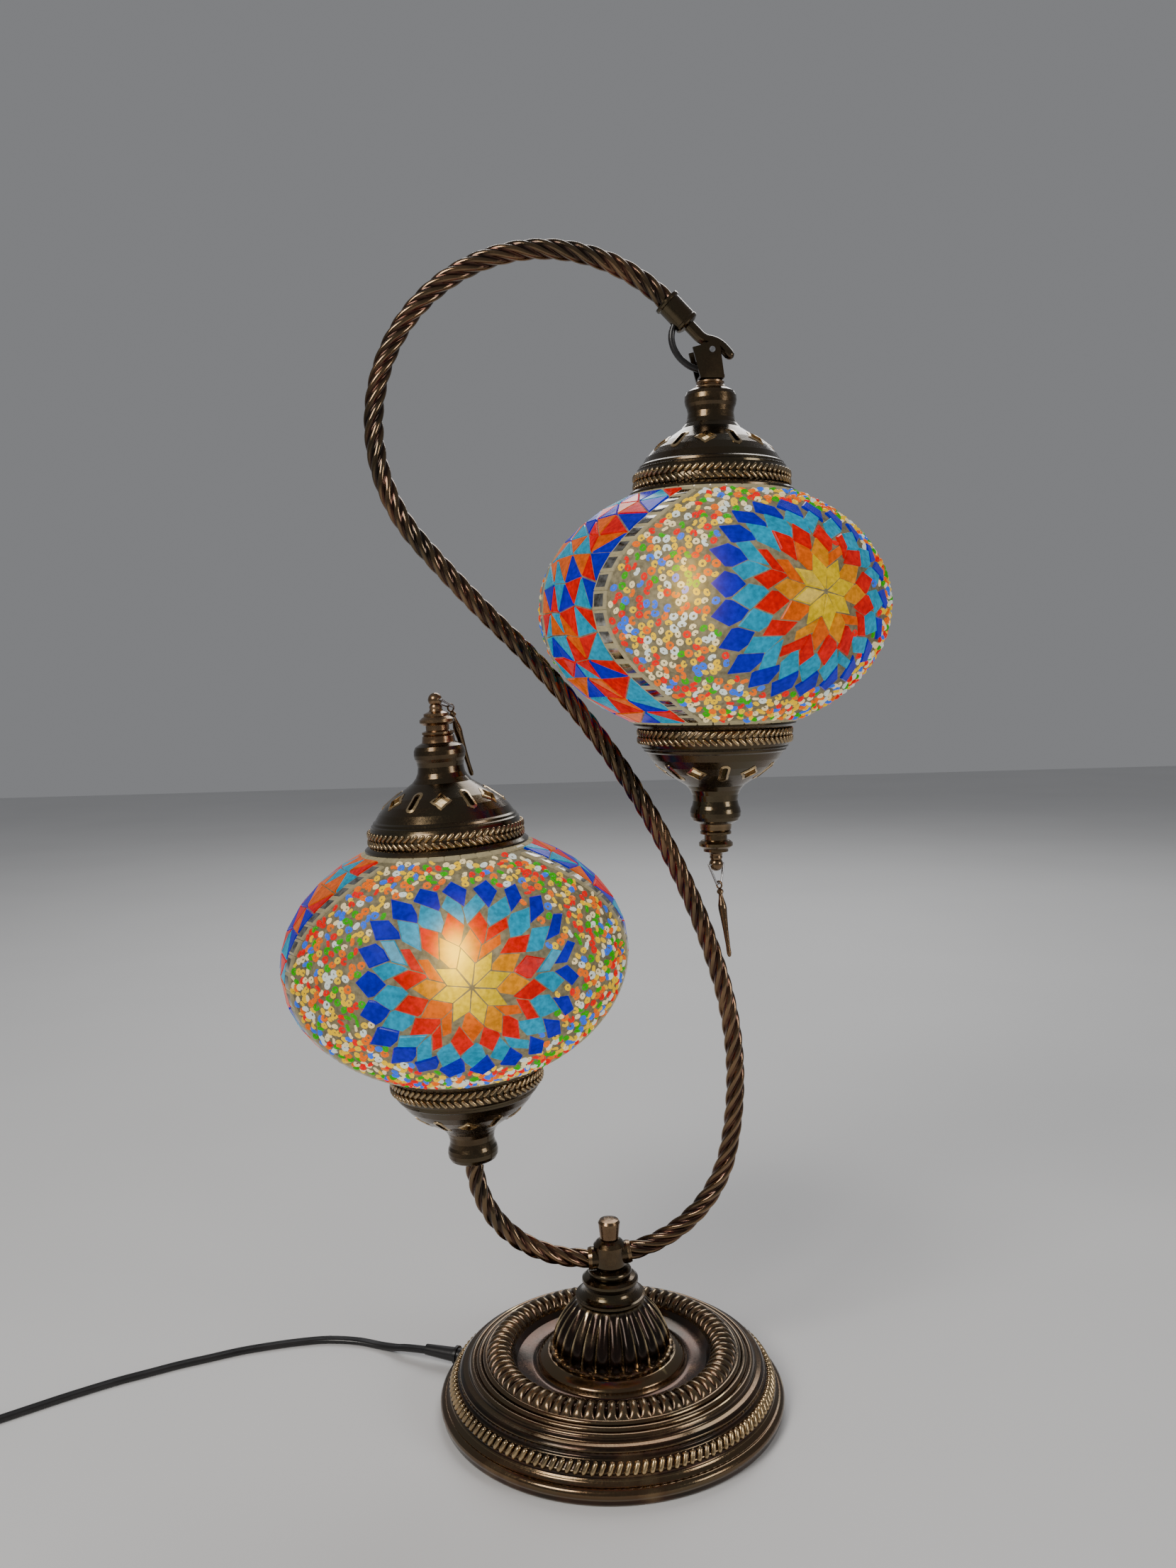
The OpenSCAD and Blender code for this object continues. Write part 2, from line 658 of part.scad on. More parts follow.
// Frame of the standing globe, whose cup sits on the end of the short arm
lower_foot = straight_on(short_end, 3);
stand_h = mouth_z + cap_h;
module at_standing() {
    translate([-lower_foot[0], 0, lower_foot[1]]) rotate([0, -lean, 0]) translate([0, 0, stand_h]) children();
}

// Nipple spigoted into the end of the short arm
module lower_nipple() {
    color(brass) at_standing() underneath() difference() {
        union() {
            translate([0, 0, holder_u]) cylinder(d = rod_d, h = 55.4 - holder_u, $fn = 48);
            translate([0, 0, 54]) cylinder(r = tube_d / 2 - tube_wall - 0.25, h = 8, $fn = 48);
        }
        translate([0, 0, 28]) cylinder(r = 2.8, h = 40, $fn = 32);
    }
}

module lower_lock_nut() {
    color(steel) at_standing() underneath() lock_nut();
}

module lower_cup() {
    color(bronze) at_standing() underneath() rotate([0, 0, 30]) cap_shell(tube_d / 2 + 0.1);
}

module lower_globe() {
    color(mosaic) at_standing() globe_shell();
}

module lower_cap() {
    color(bronze) at_standing() on_top() rotate([0, 0, 30]) cap_shell();
}

module lower_holder() {
    color(bakelite) at_standing() underneath() translate([0, 0, holder_u + 10]) mirror([0, 0, 1]) holder_body();
}

module lower_bulb_base() {
    color(steel) at_standing() underneath() translate([0, 0, holder_u + 10 - bulb_in_holder]) mirror([0, 0, 1])
        bulb_base();
}

module lower_bulb() {
    color(warm_glass) at_standing() underneath() translate([0, 0, holder_u + 10 - bulb_in_holder])
        mirror([0, 0, 1]) bulb_glass();
}

module lower_cross_bar() {
    color(steel) at_standing() on_top() translate([0, 0, -1.5]) cross_bar_body();
}

module lower_finial() {
    color(brass) at_standing() on_top() translate([0, 0, cap_h])
        rotate([0, 0, lower_drop_angle - 90]) finial_body();
}

module at_lower_ball() {
    at_standing() translate([0, 0, mouth_z + cap_h + ball_z])
        rotate([0, 0, lower_drop_angle - 90]) rotate([lower_loop_lean, 0, 0]) children();
}
module lower_loop() {
    color(steel) at_lower_ball() loop_body();
}
module lower_drop() {
    color(brass) at_lower_ball() translate([0, 0, -loop_len])
        rotate([lower_drop_lean - lower_loop_lean, 0, 0]) translate([0, 0, -ring_drop]) drop_body();
}

// ---- cord, switch and plug -------------------------------------------------

relief_end = relief_start + relief_len;
lead_points = [[relief_end * cos(cord_exit_angle), relief_end * sin(cord_exit_angle), exit_z],
    [-122, 57.5, 5.6], [-130, 63, 3.4], [-140, 69.5, 1.8], [-154, 76, 1.8], [-173, 80, 1.8],
    [-192, 79, 1.8], [-210, 76, 1.8], [-227, 72, 1.8], [-244, 66, 1.8], [-261, 60, 1.8],
    [-277, 53, 1.8], [-293, 46, 1.8], [-308, 38, 1.8], [-322, 30, 1.8], [-343, 17, 1.8], [-364, 4, 1.8]];
link_points = [[-416, -28, 1.8], [-429, -34, 1.8], [-442, -34, 1.8], [-454, -28, 1.8], [-462, -16, 1.8],
    [-465, 0, 1.8], [-465, 16, 1.8]];
tail_points = [[-465, 54, 1.8], [-465, 62, 2.4], [-466, 70, 4.4], [-467, 78, 7]];
coil_centre = [-430, 36];
coil_mid_r = 35;
coil_turns_wide = 3;
coil_layers = 2;

switch_mid = [-390, -12];
switch_angle = 211.6;
switch_len = 61;
switch_w = 27;

module cord_lead() {
    color(rubber) swept_cord(smooth_route(lead_points, 2), cord_w, cord_t);
}
module cord_link() {
    color(rubber) swept_cord(smooth_route(link_points, 2), cord_w, cord_t);
}
module cord_coil() {
    half = coil_turns_wide * cord_w / 2;
    color(rubber) translate([coil_centre[0], coil_centre[1], 0]) rotate_extrude($fn = 96)
        translate([coil_mid_r - half, 0]) square([2 * half, coil_layers * cord_t]);
}
module cord_tail() {
    color(rubber) swept_cord(smooth_route(tail_points, 3), cord_w, cord_t);
}

module at_switch() {
    translate([switch_mid[0], switch_mid[1], 0]) rotate([0, 0, switch_angle]) children();
}
module pill(l, w, h) {
    hull() for (side = [-1, 1]) translate([side * (l - w) / 2, 0, 0]) cylinder(d = w, h = h, $fn = 32);
}
module switch_base() {
    color(dark) at_switch() difference() {
        pill(switch_len, switch_w, 8);
        translate([0, 0, 1.6]) pill(switch_len - 4, switch_w - 4, 8);
    }
}
module switch_cover() {
    color(dark) at_switch() difference() {
        translate([0, 0, 8]) pill(switch_len, switch_w, 10);
        translate([0, 0, 7]) pill(switch_len - 4, switch_w - 4, 9);
        translate([-11, -6.5, 10]) cube([22, 13, 10]);
    }
    // Two bearings under the top carry the rocker
    color(dark) at_switch() for (side = [-1, 1]) difference() {
        translate([-3, side * 8.2 - 1.4, 12]) cube([6, 2.8, 4.2]);
        translate([0, side * 8.2 + 5, rocker_axis_z - 1]) rotate([90, 0, 0]) cylinder(r = 1.06, h = 10, $fn = 24);
    }
}
rocker_axis_z = 15;
module switch_rocker() {
    color([0.75, 0.74, 0.70]) at_switch() translate([0, 0, rocker_axis_z - 1]) rotate([0, 8, 0])
        rotate([90, 0, 0]) {
            linear_extrude(12.4, center = true)
                polygon([[-9.6, 0.5], [-3, -3], [3, -3], [9.6, 0.5], [9.6, 5], [0, 3.8], [-9.6, 5]]);
            translate([0, 0, -9.4]) cylinder(r = 1, h = 18.8, $fn = 24);
        }
}

plug_start = [-467, 78];
module at_plug() {
    translate([plug_start[0], plug_start[1], 7]) rotate([0, 0, 96]) rotate([0, 90, 0]) children();
}
module plug_body() {
    color(dark) at_plug() {
        translate([0, 0, 4]) linear_extrude(29) hull() for (side = [-1, 1])
            translate([0, side * 5.5]) circle(r = 6.9, $fn = 32);
        cylinder(d1 = 7, d2 = 11, h = 4.2, $fn = 32);
    }
}
module plug_pins() {
    color(steel) at_plug() for (side = [-1, 1]) translate([0, side * 9.5, 33]) {
        cylinder(d = 4, h = 17.5, $fn = 24);
        translate([0, 0, 17.5]) sphere(d = 4, $fn = 24);
    }
}

// ---- the assembly ----------------------------------------------------------

base_cover();
fluted_boss();
boss_collar();
column();
top_knob();
tie_rod();
rod_nut();
base_weight();
bottom_plate();
plate_screws();
felt_pad();
cord_grommet();
strain_relief();
neck_long_arm();
neck_short_arm();
tube_rings();
hook_ferrule();
hook();
hook_eye();
stirrup();
swing_pin();
pendant_flex();
upper_nipple();
upper_lock_nut();
upper_collar();
upper_cap();
upper_globe();
upper_cup();
upper_holder();
upper_bulb_base();
upper_bulb();
upper_cross_bar();
upper_finial();
upper_loop();
upper_drop();
lower_nipple();
lower_lock_nut();
lower_cup();
lower_globe();
lower_cap();
lower_holder();
lower_bulb_base();
lower_bulb();
lower_cross_bar();
lower_finial();
lower_loop();
lower_drop();
cord_lead();
cord_link();
cord_coil();
cord_tail();
switch_base();
switch_cover();
switch_rocker();
plug_body();
plug_pins();
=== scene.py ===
"""Two-globe mosaic table lamp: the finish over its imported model. Lengths are in metres."""
import math
import random

import bpy
from mathutils import Matrix, Vector


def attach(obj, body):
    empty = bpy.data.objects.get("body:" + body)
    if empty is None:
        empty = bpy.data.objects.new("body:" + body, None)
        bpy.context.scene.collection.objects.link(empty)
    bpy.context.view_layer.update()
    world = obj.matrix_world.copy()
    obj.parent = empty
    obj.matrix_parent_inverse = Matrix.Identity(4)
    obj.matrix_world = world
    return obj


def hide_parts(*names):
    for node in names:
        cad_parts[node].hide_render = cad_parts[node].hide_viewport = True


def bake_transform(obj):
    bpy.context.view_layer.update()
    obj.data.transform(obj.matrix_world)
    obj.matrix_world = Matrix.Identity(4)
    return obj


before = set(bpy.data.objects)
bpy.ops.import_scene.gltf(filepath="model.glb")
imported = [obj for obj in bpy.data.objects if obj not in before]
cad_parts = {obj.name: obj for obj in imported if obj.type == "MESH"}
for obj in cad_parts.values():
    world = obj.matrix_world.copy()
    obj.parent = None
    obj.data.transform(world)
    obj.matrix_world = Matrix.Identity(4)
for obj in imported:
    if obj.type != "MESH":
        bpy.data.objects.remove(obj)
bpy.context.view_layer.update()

MM = 0.001
TURN = 2 * math.pi


# ---------------------------------------------------------------- camera, floor, light

def aim_camera():
    """A seated viewer in front of the lamp, a little left of it and slightly tilted."""
    heading = Vector((math.sin(math.radians(4)), math.cos(math.radians(4)), 0))
    pitch, roll = math.radians(5.2), math.radians(1.22)
    forward = heading * math.cos(pitch) - Vector((0, 0, math.sin(pitch)))
    level_right = heading.cross(Vector((0, 0, 1)))
    level_up = level_right.cross(forward)
    right = level_right * math.cos(roll) - level_up * math.sin(roll)
    up = level_right * math.sin(roll) + level_up * math.cos(roll)
    data = bpy.data.cameras.new("camera")
    data.lens, data.sensor_width = 29.3, 36
    camera = bpy.data.objects.new("camera", data)
    camera.matrix_world = Matrix((
        (right.x, up.x, -forward.x, -0.0558),
        (right.y, up.y, -forward.y, -0.7028),
        (right.z, up.z, -forward.z, 0.4215),
        (0, 0, 0, 1)))
    bpy.context.scene.collection.objects.link(camera)
    bpy.context.scene.camera = camera


def area_light(name, place, target, size, power, colour):
    data = bpy.data.lights.new(name, "AREA")
    data.size, data.energy, data.color = size, power, colour
    light = bpy.data.objects.new(name, data)
    light.location = place
    light.rotation_euler = (Vector(target) - Vector(place)).to_track_quat("-Z", "Y").to_euler()
    bpy.context.scene.collection.objects.link(light)


aim_camera()
area_light("key", (-0.9, -0.9, 1.2), (0, 0, 0.3), 0.6, 14, (1.0, 0.96, 0.9))
area_light("fill", (1.2, -0.8, 0.7), (0, 0, 0.3), 0.5, 6, (1.0, 0.97, 0.93))
area_light("back", (0.3, 1.5, 1.6), (0, 0.3, 0.1), 1.2, 16, (1.0, 1.0, 1.0))


# ---------------------------------------------------------------- node helpers

class Tree:
    """Adds nodes to a shader or geometry tree; an input may be a value or another node's socket."""

    def __init__(self, tree):
        self.tree = tree

    def add(self, kind, inputs=None, **settings):
        node = self.tree.nodes.new(kind)
        for name, value in settings.items():
            setattr(node, name, value)
        for key, value in (inputs or {}).items():
            self.feed(value, node.inputs[key])
        return node

    def feed(self, value, socket):
        if isinstance(value, bpy.types.NodeSocket):
            self.tree.links.new(value, socket)
        else:
            socket.default_value = value

    def math(self, operation, a, b=0.0):
        return self.add("ShaderNodeMath", {0: a, 1: b}, operation=operation).outputs[0]

    def blend(self, factor, a, b, mode="MIX"):
        node = self.add("ShaderNodeMix", data_type="RGBA", blend_type=mode)
        self.feed(factor, node.inputs[0])
        self.feed(a, node.inputs[6])
        self.feed(b, node.inputs[7])
        return node.outputs[2]

    def ramp(self, value, stops, mode="LINEAR"):
        node = self.add("ShaderNodeValToRGB", {0: value})
        node.color_ramp.interpolation = mode
        elements = node.color_ramp.elements
        while len(elements) > 1:
            elements.remove(elements[0])
        elements[0].position, elements[0].color = stops[0][0], (*stops[0][1], 1)
        for place, colour in stops[1:]:
            elements.new(place).color = (*colour, 1)
        return node.outputs[0]

    def range(self, value, low, high, to_low=0.0, to_high=1.0):
        return self.add("ShaderNodeMapRange",
                        {0: value, 1: low, 2: high, 3: to_low, 4: to_high}).outputs[0]


# The glow on a globe: depth of its middle in front of the bulb, how much its height counts,
# the radius of its core, the halo's radius in cores, and how far the bulb's light carries
GLOW_DEPTH = 0.088
GLOW_SQUEEZE = 0.62
GLOW_CORE = 0.0068
HALO_SPREAD = 2.1
GLOW_REACH = 0.085


def grey(v):
    return (v, v, v)


def group(name, inputs, outputs):
    """An empty shader node group; inputs and outputs are (name, kind, default)."""
    tree = bpy.data.node_groups.new(name, "ShaderNodeTree")
    for way, sockets in (("INPUT", inputs), ("OUTPUT", outputs)):
        for label, kind, value in sockets:
            socket = tree.interface.new_socket(label, in_out=way, socket_type="NodeSocket" + kind)
            if value is not None:
                socket.default_value = value
    into, out = tree.nodes.new("NodeGroupInput"), tree.nodes.new("NodeGroupOutput")
    return Tree(tree), into.outputs, out.inputs


def build_worn_metal_group():
    """Patina in two browns, rubbed bare on edges and in a few worn patches."""
    t, given, result = group("worn_metal", [
        ("Patina", "Color", (0.05, 0.035, 0.025, 1)), ("Bare", "Color", (0.5, 0.36, 0.18, 1)),
        ("Red patina", "Color", (0.09, 0.035, 0.02, 1)), ("Wear", "Float", 0.5),
        ("Roughness", "Float", 0.3)],
        [("Color", "Color", None), ("Roughness", "Float", None), ("Height", "Float", None)])
    place = t.add("ShaderNodeTexCoord").outputs["Object"]
    blotch = t.add("ShaderNodeTexNoise", {"Vector": place, "Scale": 38.0, "Detail": 5.0}).outputs[0]
    fine = t.add("ShaderNodeTexNoise", {"Vector": place, "Scale": 900.0, "Detail": 2.0}).outputs[0]
    edges = t.add("ShaderNodeNewGeometry").outputs["Pointiness"]
    worn = t.math("MULTIPLY", t.range(edges, 0.515, 0.58), given["Wear"])
    worn = t.math("MULTIPLY", worn, t.range(blotch, 0.3, 0.6, 0.5, 1.0))
    rubbed = t.math("MULTIPLY", t.range(blotch, 0.58, 0.75), 0.25)
    mask = t.math("MAXIMUM", worn, rubbed)
    ground = t.blend(t.range(blotch, 0.38, 0.62), given["Patina"], given["Red patina"])
    t.feed(t.blend(mask, ground, given["Bare"]), result["Color"])
    rough = t.math("ADD", given["Roughness"], t.range(fine, 0.35, 0.7, -0.05, 0.09))
    t.feed(t.math("ADD", rough, t.range(blotch, 0.3, 0.7, -0.04, 0.06)), result["Roughness"])
    t.feed(fine, result["Height"])
    return t.tree


def build_glow_group():
    """How strongly the bulb shows through the glass: brightest where the glass is nearest to it."""
    t, given, result = group("bulb_glow", [
        ("Bulb", "Vector", (0, 0, 0)), ("Core", "Float", 0.03), ("Reach", "Float", 0.1)],
        [("Core", "Float", None), ("Halo", "Float", None), ("Level", "Float", None)])
    place = t.add("ShaderNodeTexCoord").outputs["Object"]
    off = t.add("ShaderNodeVectorMath", {0: place, 1: given["Bulb"]}, operation="SUBTRACT").outputs[0]
    split = t.add("ShaderNodeSeparateXYZ", {0: off}).outputs
    side = t.math("ABSOLUTE", split[1])
    flat = t.math("POWER", split[0], 2.0)
    deep = t.math("POWER", t.math("SUBTRACT", side, GLOW_DEPTH), 2.0)
    tall = t.math("POWER", t.math("MULTIPLY", split[2], GLOW_SQUEEZE), 2.0)
    away = t.math("SQRT", t.math("ADD", t.math("ADD", flat, deep), tall))
    halo = t.math("MULTIPLY", given["Core"], HALO_SPREAD)
    for label, reach in (("Core", given["Core"]), ("Halo", halo), ("Level", given["Reach"])):
        span = t.math("POWER", t.math("DIVIDE", away, reach), 2.0)
        t.feed(t.math("EXPONENT", t.math("MULTIPLY", span, -1.0)), result[label])
    return t.tree


WORN_METAL = build_worn_metal_group()
BULB_GLOW = build_glow_group()


def material(name):
    made = bpy.data.materials.new(name)
    made.use_nodes = True
    t = Tree(made.node_tree)
    shader = made.node_tree.nodes["Principled BSDF"]
    return made, t, shader.inputs


def rough_bump(t, height, strength, distance):
    bump = t.add("ShaderNodeBump", {"Height": height, "Strength": strength, "Distance": distance})
    return bump.outputs[0]


def patinated(name, patina, red, bare, wear, roughness, bump=0.12, coat=0.35):
    """Metal with a brown and a redder patina, worn bare on its edges."""
    made, t, skin = material(name)
    finish = t.add("ShaderNodeGroup", node_tree=WORN_METAL)
    for label, value in (("Patina", (*patina, 1)), ("Red patina", (*red, 1)), ("Bare", (*bare, 1)),
                         ("Wear", wear), ("Roughness", roughness)):
        finish.inputs[label].default_value = value
    t.feed(finish.outputs["Color"], skin["Base Color"])
    t.feed(finish.outputs["Roughness"], skin["Roughness"])
    t.feed(rough_bump(t, finish.outputs["Height"], bump, 0.0002), skin["Normal"])
    skin["Metallic"].default_value = 1.0
    skin["Coat Weight"].default_value = coat
    skin["Coat Roughness"].default_value = 0.16
    return made


def plastic(name, colour, roughness, grain=0.0):
    made, t, skin = material(name)
    place = t.add("ShaderNodeTexCoord").outputs["Object"]
    fine = t.add("ShaderNodeTexNoise", {"Vector": place, "Scale": 700.0, "Detail": 3.0}).outputs[0]
    soft = t.add("ShaderNodeTexNoise", {"Vector": place, "Scale": 60.0, "Detail": 3.0}).outputs[0]
    dull = tuple(c * 0.7 for c in colour)
    t.feed(t.blend(t.range(soft, 0.35, 0.65), (*dull, 1), (*colour, 1)), skin["Base Color"])
    t.feed(t.range(soft, 0.3, 0.7, roughness - 0.06, roughness + 0.08), skin["Roughness"])
    t.feed(rough_bump(t, fine, 0.1 + grain, 0.0002), skin["Normal"])
    return made


def lit_glass(name, bulb, level, strength, roughness, hot, mottle=0.35, tint=None, pick=None, plain=None):
    """Coloured glass with the bulb behind it. Its colour is an attribute, a pick from a ramp, or plain."""
    made, t, skin = material(name)
    place = t.add("ShaderNodeTexCoord").outputs["Object"]
    if tint:
        colour = t.add("ShaderNodeAttribute", attribute_name=tint).outputs["Color"]
    elif pick:
        chance = t.add("ShaderNodeAttribute", attribute_name=pick).outputs["Fac"]
        colour = t.ramp(chance, BEAD_TINTS, "CONSTANT")
    else:
        colour = t.add("ShaderNodeRGB").outputs[0]
        colour.default_value = (*plain, 1)
    seeds = t.add("ShaderNodeTexNoise", {"Vector": place, "Scale": 420.0, "Detail": 4.0}).outputs[0]
    cloud = t.add("ShaderNodeTexNoise", {"Vector": place, "Scale": 90.0, "Detail": 2.0}).outputs[0]
    streak = t.math("MULTIPLY", t.range(seeds, 0.35, 0.65, 1 - mottle, 1.0),
                    t.range(cloud, 0.35, 0.65, 1 - mottle * 0.6, 1.0))
    shown = t.blend(1.0, colour, streak, "MULTIPLY")
    glow = t.add("ShaderNodeGroup", node_tree=BULB_GLOW)
    glow.inputs["Bulb"].default_value = bulb
    glow.inputs["Core"].default_value = GLOW_CORE
    glow.inputs["Reach"].default_value = GLOW_REACH
    lift = t.range(glow.outputs["Level"], 0.0, 1.0, *level)
    near = t.math("MULTIPLY", glow.outputs["Halo"], hot * 2.0)
    lit = t.blend(1.0, shown, t.math("ADD", lift, near), "MULTIPLY")
    warm = t.blend(t.math("MULTIPLY", glow.outputs["Halo"], hot * 0.22), lit, (1.9, 0.95, 0.01, 1))
    core = t.math("MULTIPLY", glow.outputs["Core"], hot)
    t.feed(t.blend(core, warm, (5.2, 3.1, 0.12, 1)), skin["Emission Color"])
    t.feed(t.blend(1.0, shown, (0.12, 0.12, 0.12, 1), "MULTIPLY"), skin["Base Color"])
    skin["Emission Strength"].default_value = strength
    skin["Specular IOR Level"].default_value = 0.15
    t.feed(t.range(cloud, 0.3, 0.7, roughness, roughness + 0.08), skin["Roughness"])
    t.feed(rough_bump(t, cloud, 0.25, 0.0006), skin["Normal"])
    return made


# ---------------------------------------------------------------- mesh helpers

def piece(name, points, faces, materials, body, stands_for=(), sharp=32, face_material=None):
    """A mesh that rides on a body and may replace CAD nodes."""
    mesh = bpy.data.meshes.new(name)
    mesh.from_pydata([tuple(p) for p in points], [], faces)
    for made in materials:
        mesh.materials.append(made)
    if face_material:
        mesh.polygons.foreach_set("material_index", face_material)
    mesh.shade_smooth()
    mesh.set_sharp_from_angle(angle=math.radians(sharp))
    mesh.update()
    made = bpy.data.objects.new(name, mesh)
    bpy.context.scene.collection.objects.link(made)
    return settle(made, body, stands_for)


def settle(made, body, stands_for=()):
    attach(made, body)
    if stands_for:
        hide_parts(*stands_for)
    return made


def lathe(outline, segments, shape=None):
    """Points and faces of a closed outline turned about Z; shape(radius, height, angle) may flute it."""
    points, faces, n = [], [], len(outline)
    for i in range(segments):
        a = TURN * i / segments
        for r, z in outline:
            if shape:
                r, z = shape(r, z, a)
            points.append(Vector((r * math.cos(a), r * math.sin(a), z)))
        j = (i + 1) % segments
        for k in range(n):
            m = (k + 1) % n
            faces.append((i * n + k, j * n + k, j * n + m, i * n + m))
    return points, faces


def rounded(points, bevel):
    """The outline with each corner cut by two points at bevel from it."""
    out, n = [], len(points)
    for i, p in enumerate(points):
        for q in (points[i - 1], points[(i + 1) % n]):
            gap = math.dist(p, q)
            k = min(bevel / gap, 0.42)
            out.append((p[0] + (q[0] - p[0]) * k, p[1] + (q[1] - p[1]) * k))
    return out


# ---------------------------------------------------------------- lamp places and sizes

GLOBE_R, GLOBE_H = 96 * MM, 70 * MM
MOUTH = 61.7 * MM
CAP_H = 57 * MM
LEAN = math.radians(3)

# Radius in mm and turn in degrees of each bend of the two arms
LONG_BENDS = ((73.5, 69), (210, 28), (450, 29), (800, -5), (92.85, -176))
SHORT_BENDS = ((72, 28), (60, 60))


def after_bend(p, radius, turn):
    """p is [x, z, heading] in metres and radians."""
    side = math.copysign(1, turn)
    x, z, h = p
    g = h + turn
    return (x + side * radius * (math.sin(g) - math.sin(h)),
            z + side * radius * (math.cos(h) - math.cos(g)), g)


def along_bends(start, bends, step):
    stations = [start]
    for radius, turn in bends:
        base, radius, turn = stations[-1], radius * MM, math.radians(turn)
        count = max(2, round(radius * abs(turn) / step))
        stations += [after_bend(base, radius, turn * k / count) for k in range(1, count + 1)]
    return stations


def straight_on(p, d):
    return (p[0] + d * math.cos(p[2]), p[1] + d * math.sin(p[2]), p[2])


LONG_ROOT = (9 * MM, 87.2 * MM, math.radians(9))
SHORT_ROOT = (9 * MM, 84.5 * MM, math.radians(-1))
long_arm = along_bends(LONG_ROOT, LONG_BENDS, 4 * MM)
short_arm = along_bends(SHORT_ROOT, SHORT_BENDS, 3 * MM)

foot = straight_on(short_arm[-1], 3 * MM)
UPPER = Matrix.Translation((64.5 * MM, 0, 452.2 * MM))
LOWER = (Matrix.Translation((-foot[0], 0, foot[1])) @ Matrix.Rotation(-LEAN, 4, "Y")
         @ Matrix.Translation((0, 0, MOUTH + CAP_H)))
FLIP = Matrix.Diagonal((1, 1, -1, 1))


# ---------------------------------------------------------------- materials

BEAD_TINTS = [(0.0, (1.0, 0.80, 0.42)), (0.18, (1.0, 0.60, 0.005)), (0.42, (0.95, 0.003, 0.002)),
              (0.57, (0.03, 0.42, 0.004)), (0.70, (0.03, 0.16, 0.95)), (0.79, (1.0, 0.17, 0.002)),
              (0.92, (0.75, 0.82, 0.74))]

# Middles of the glow, beside and behind the glass
UPPER_BULB = (0.0378, 0, 0.4604)
LOWER_BULB = (-0.079, 0, 0.282)

bronze = patinated("antique_bronze", (0.026, 0.018, 0.011), (0.060, 0.024, 0.012), (0.48, 0.34, 0.16),
                   0.7, 0.17)
bell_bronze = patinated("fluted_bronze", (0.018, 0.012, 0.008), (0.034, 0.016, 0.010), (0.60, 0.46, 0.26),
                        1.3, 0.18)
cap_bronze = patinated("spun_bronze", (0.072, 0.055, 0.028), (0.075, 0.046, 0.022), (0.40, 0.29, 0.14),
                       0.0, 0.20)
# Lighter bronze for the base's turned rings and rim: partly polished metal, partly a painted highlight on
# the rings
rubbed = patinated("polished_bronze_rings_with_painted_highlight", (0.12, 0.083, 0.042), (0.12, 0.065, 0.03), (0.56, 0.42, 0.21),
                   0.9, 0.15)
ridge_bronze = patinated("rubbed_bronze", (0.060, 0.038, 0.022), (0.085, 0.042, 0.022),
                         (0.58, 0.42, 0.22), 1.0, 0.22)
neck_bronze = patinated("twisted_pipe_bronze", (0.026, 0.016, 0.010), (0.080, 0.028, 0.014),
                        (0.58, 0.40, 0.20), 0.9, 0.14)
brass = patinated("aged_brass", (0.15, 0.10, 0.05), (0.18, 0.10, 0.05), (0.60, 0.45, 0.24), 0.2, 0.22)
steel = patinated("zinc_plated_steel", (0.42, 0.42, 0.43), (0.36, 0.36, 0.37), (0.6, 0.6, 0.6), 0.1, 0.3,
                  coat=0.0)
iron = patinated("rough_iron", (0.04, 0.04, 0.042), (0.06, 0.05, 0.045), (0.12, 0.11, 0.1), 0.1, 0.6, 0.6,
                 coat=0.0)
bakelite = plastic("black_bakelite", (0.018, 0.016, 0.015), 0.28)
rubber = plastic("black_cord_sheath", (0.014, 0.013, 0.013), 0.30, 0.05)
rocker_white = plastic("rocker_plastic", (0.62, 0.60, 0.55), 0.3)
felt = plastic("green_felt", (0.03, 0.10, 0.055), 0.9, 0.8)


def silvering():
    made, t, skin = material("mirror_silver")
    place = t.add("ShaderNodeTexCoord").outputs["Object"]
    worn = t.add("ShaderNodeTexNoise", {"Vector": place, "Scale": 300.0, "Detail": 4.0}).outputs[0]
    t.feed(t.ramp(worn, [(0.35, (0.20, 0.18, 0.15)), (0.6, (0.55, 0.53, 0.48))]), skin["Base Color"])
    t.feed(t.range(worn, 0.3, 0.7, 0.05, 0.18), skin["Roughness"])
    skin["Metallic"].default_value = 1.0
    return made


silver = silvering()


def opal(name):
    made, t, skin = material(name)
    place = t.add("ShaderNodeTexCoord").outputs["Object"]
    haze = t.add("ShaderNodeTexNoise", {"Vector": place, "Scale": 50.0, "Detail": 2.0}).outputs[0]
    t.feed(t.ramp(haze, [(0.3, (1.0, 0.86, 0.62)), (0.7, (1.0, 0.92, 0.74))]), skin["Emission Color"])
    skin["Base Color"].default_value = (0.95, 0.93, 0.88, 1)
    skin["Emission Strength"].default_value = 3.0
    skin["Roughness"].default_value = 0.15
    return made


bulb_glass = opal("opal_bulb")


# ---------------------------------------------------------------- the mosaic's layout

def clip(poly, point, normal):
    """The part of a convex outline on the side that normal points to."""
    out = []
    for i, b in enumerate(poly):
        a = poly[i - 1]
        da = (a[0] - point[0]) * normal[0] + (a[1] - point[1]) * normal[1]
        db = (b[0] - point[0]) * normal[0] + (b[1] - point[1]) * normal[1]
        if (da >= 0) != (db >= 0):
            k = da / (da - db)
            out.append((a[0] + (b[0] - a[0]) * k, a[1] + (b[1] - a[1]) * k))
        if db >= 0:
            out.append(b)
    return out


def area(poly):
    return 0.5 * sum(poly[i - 1][0] * p[1] - p[0] * poly[i - 1][1] for i, p in enumerate(poly))


def edges_of(poly):
    """Each edge's point and inward normal, for an outline that runs anticlockwise."""
    for i, b in enumerate(poly):
        a = poly[i - 1]
        dx, dy = b[0] - a[0], b[1] - a[1]
        size = math.hypot(dx, dy)
        if size > 1e-7:
            yield a, (-dy / size, dx / size)


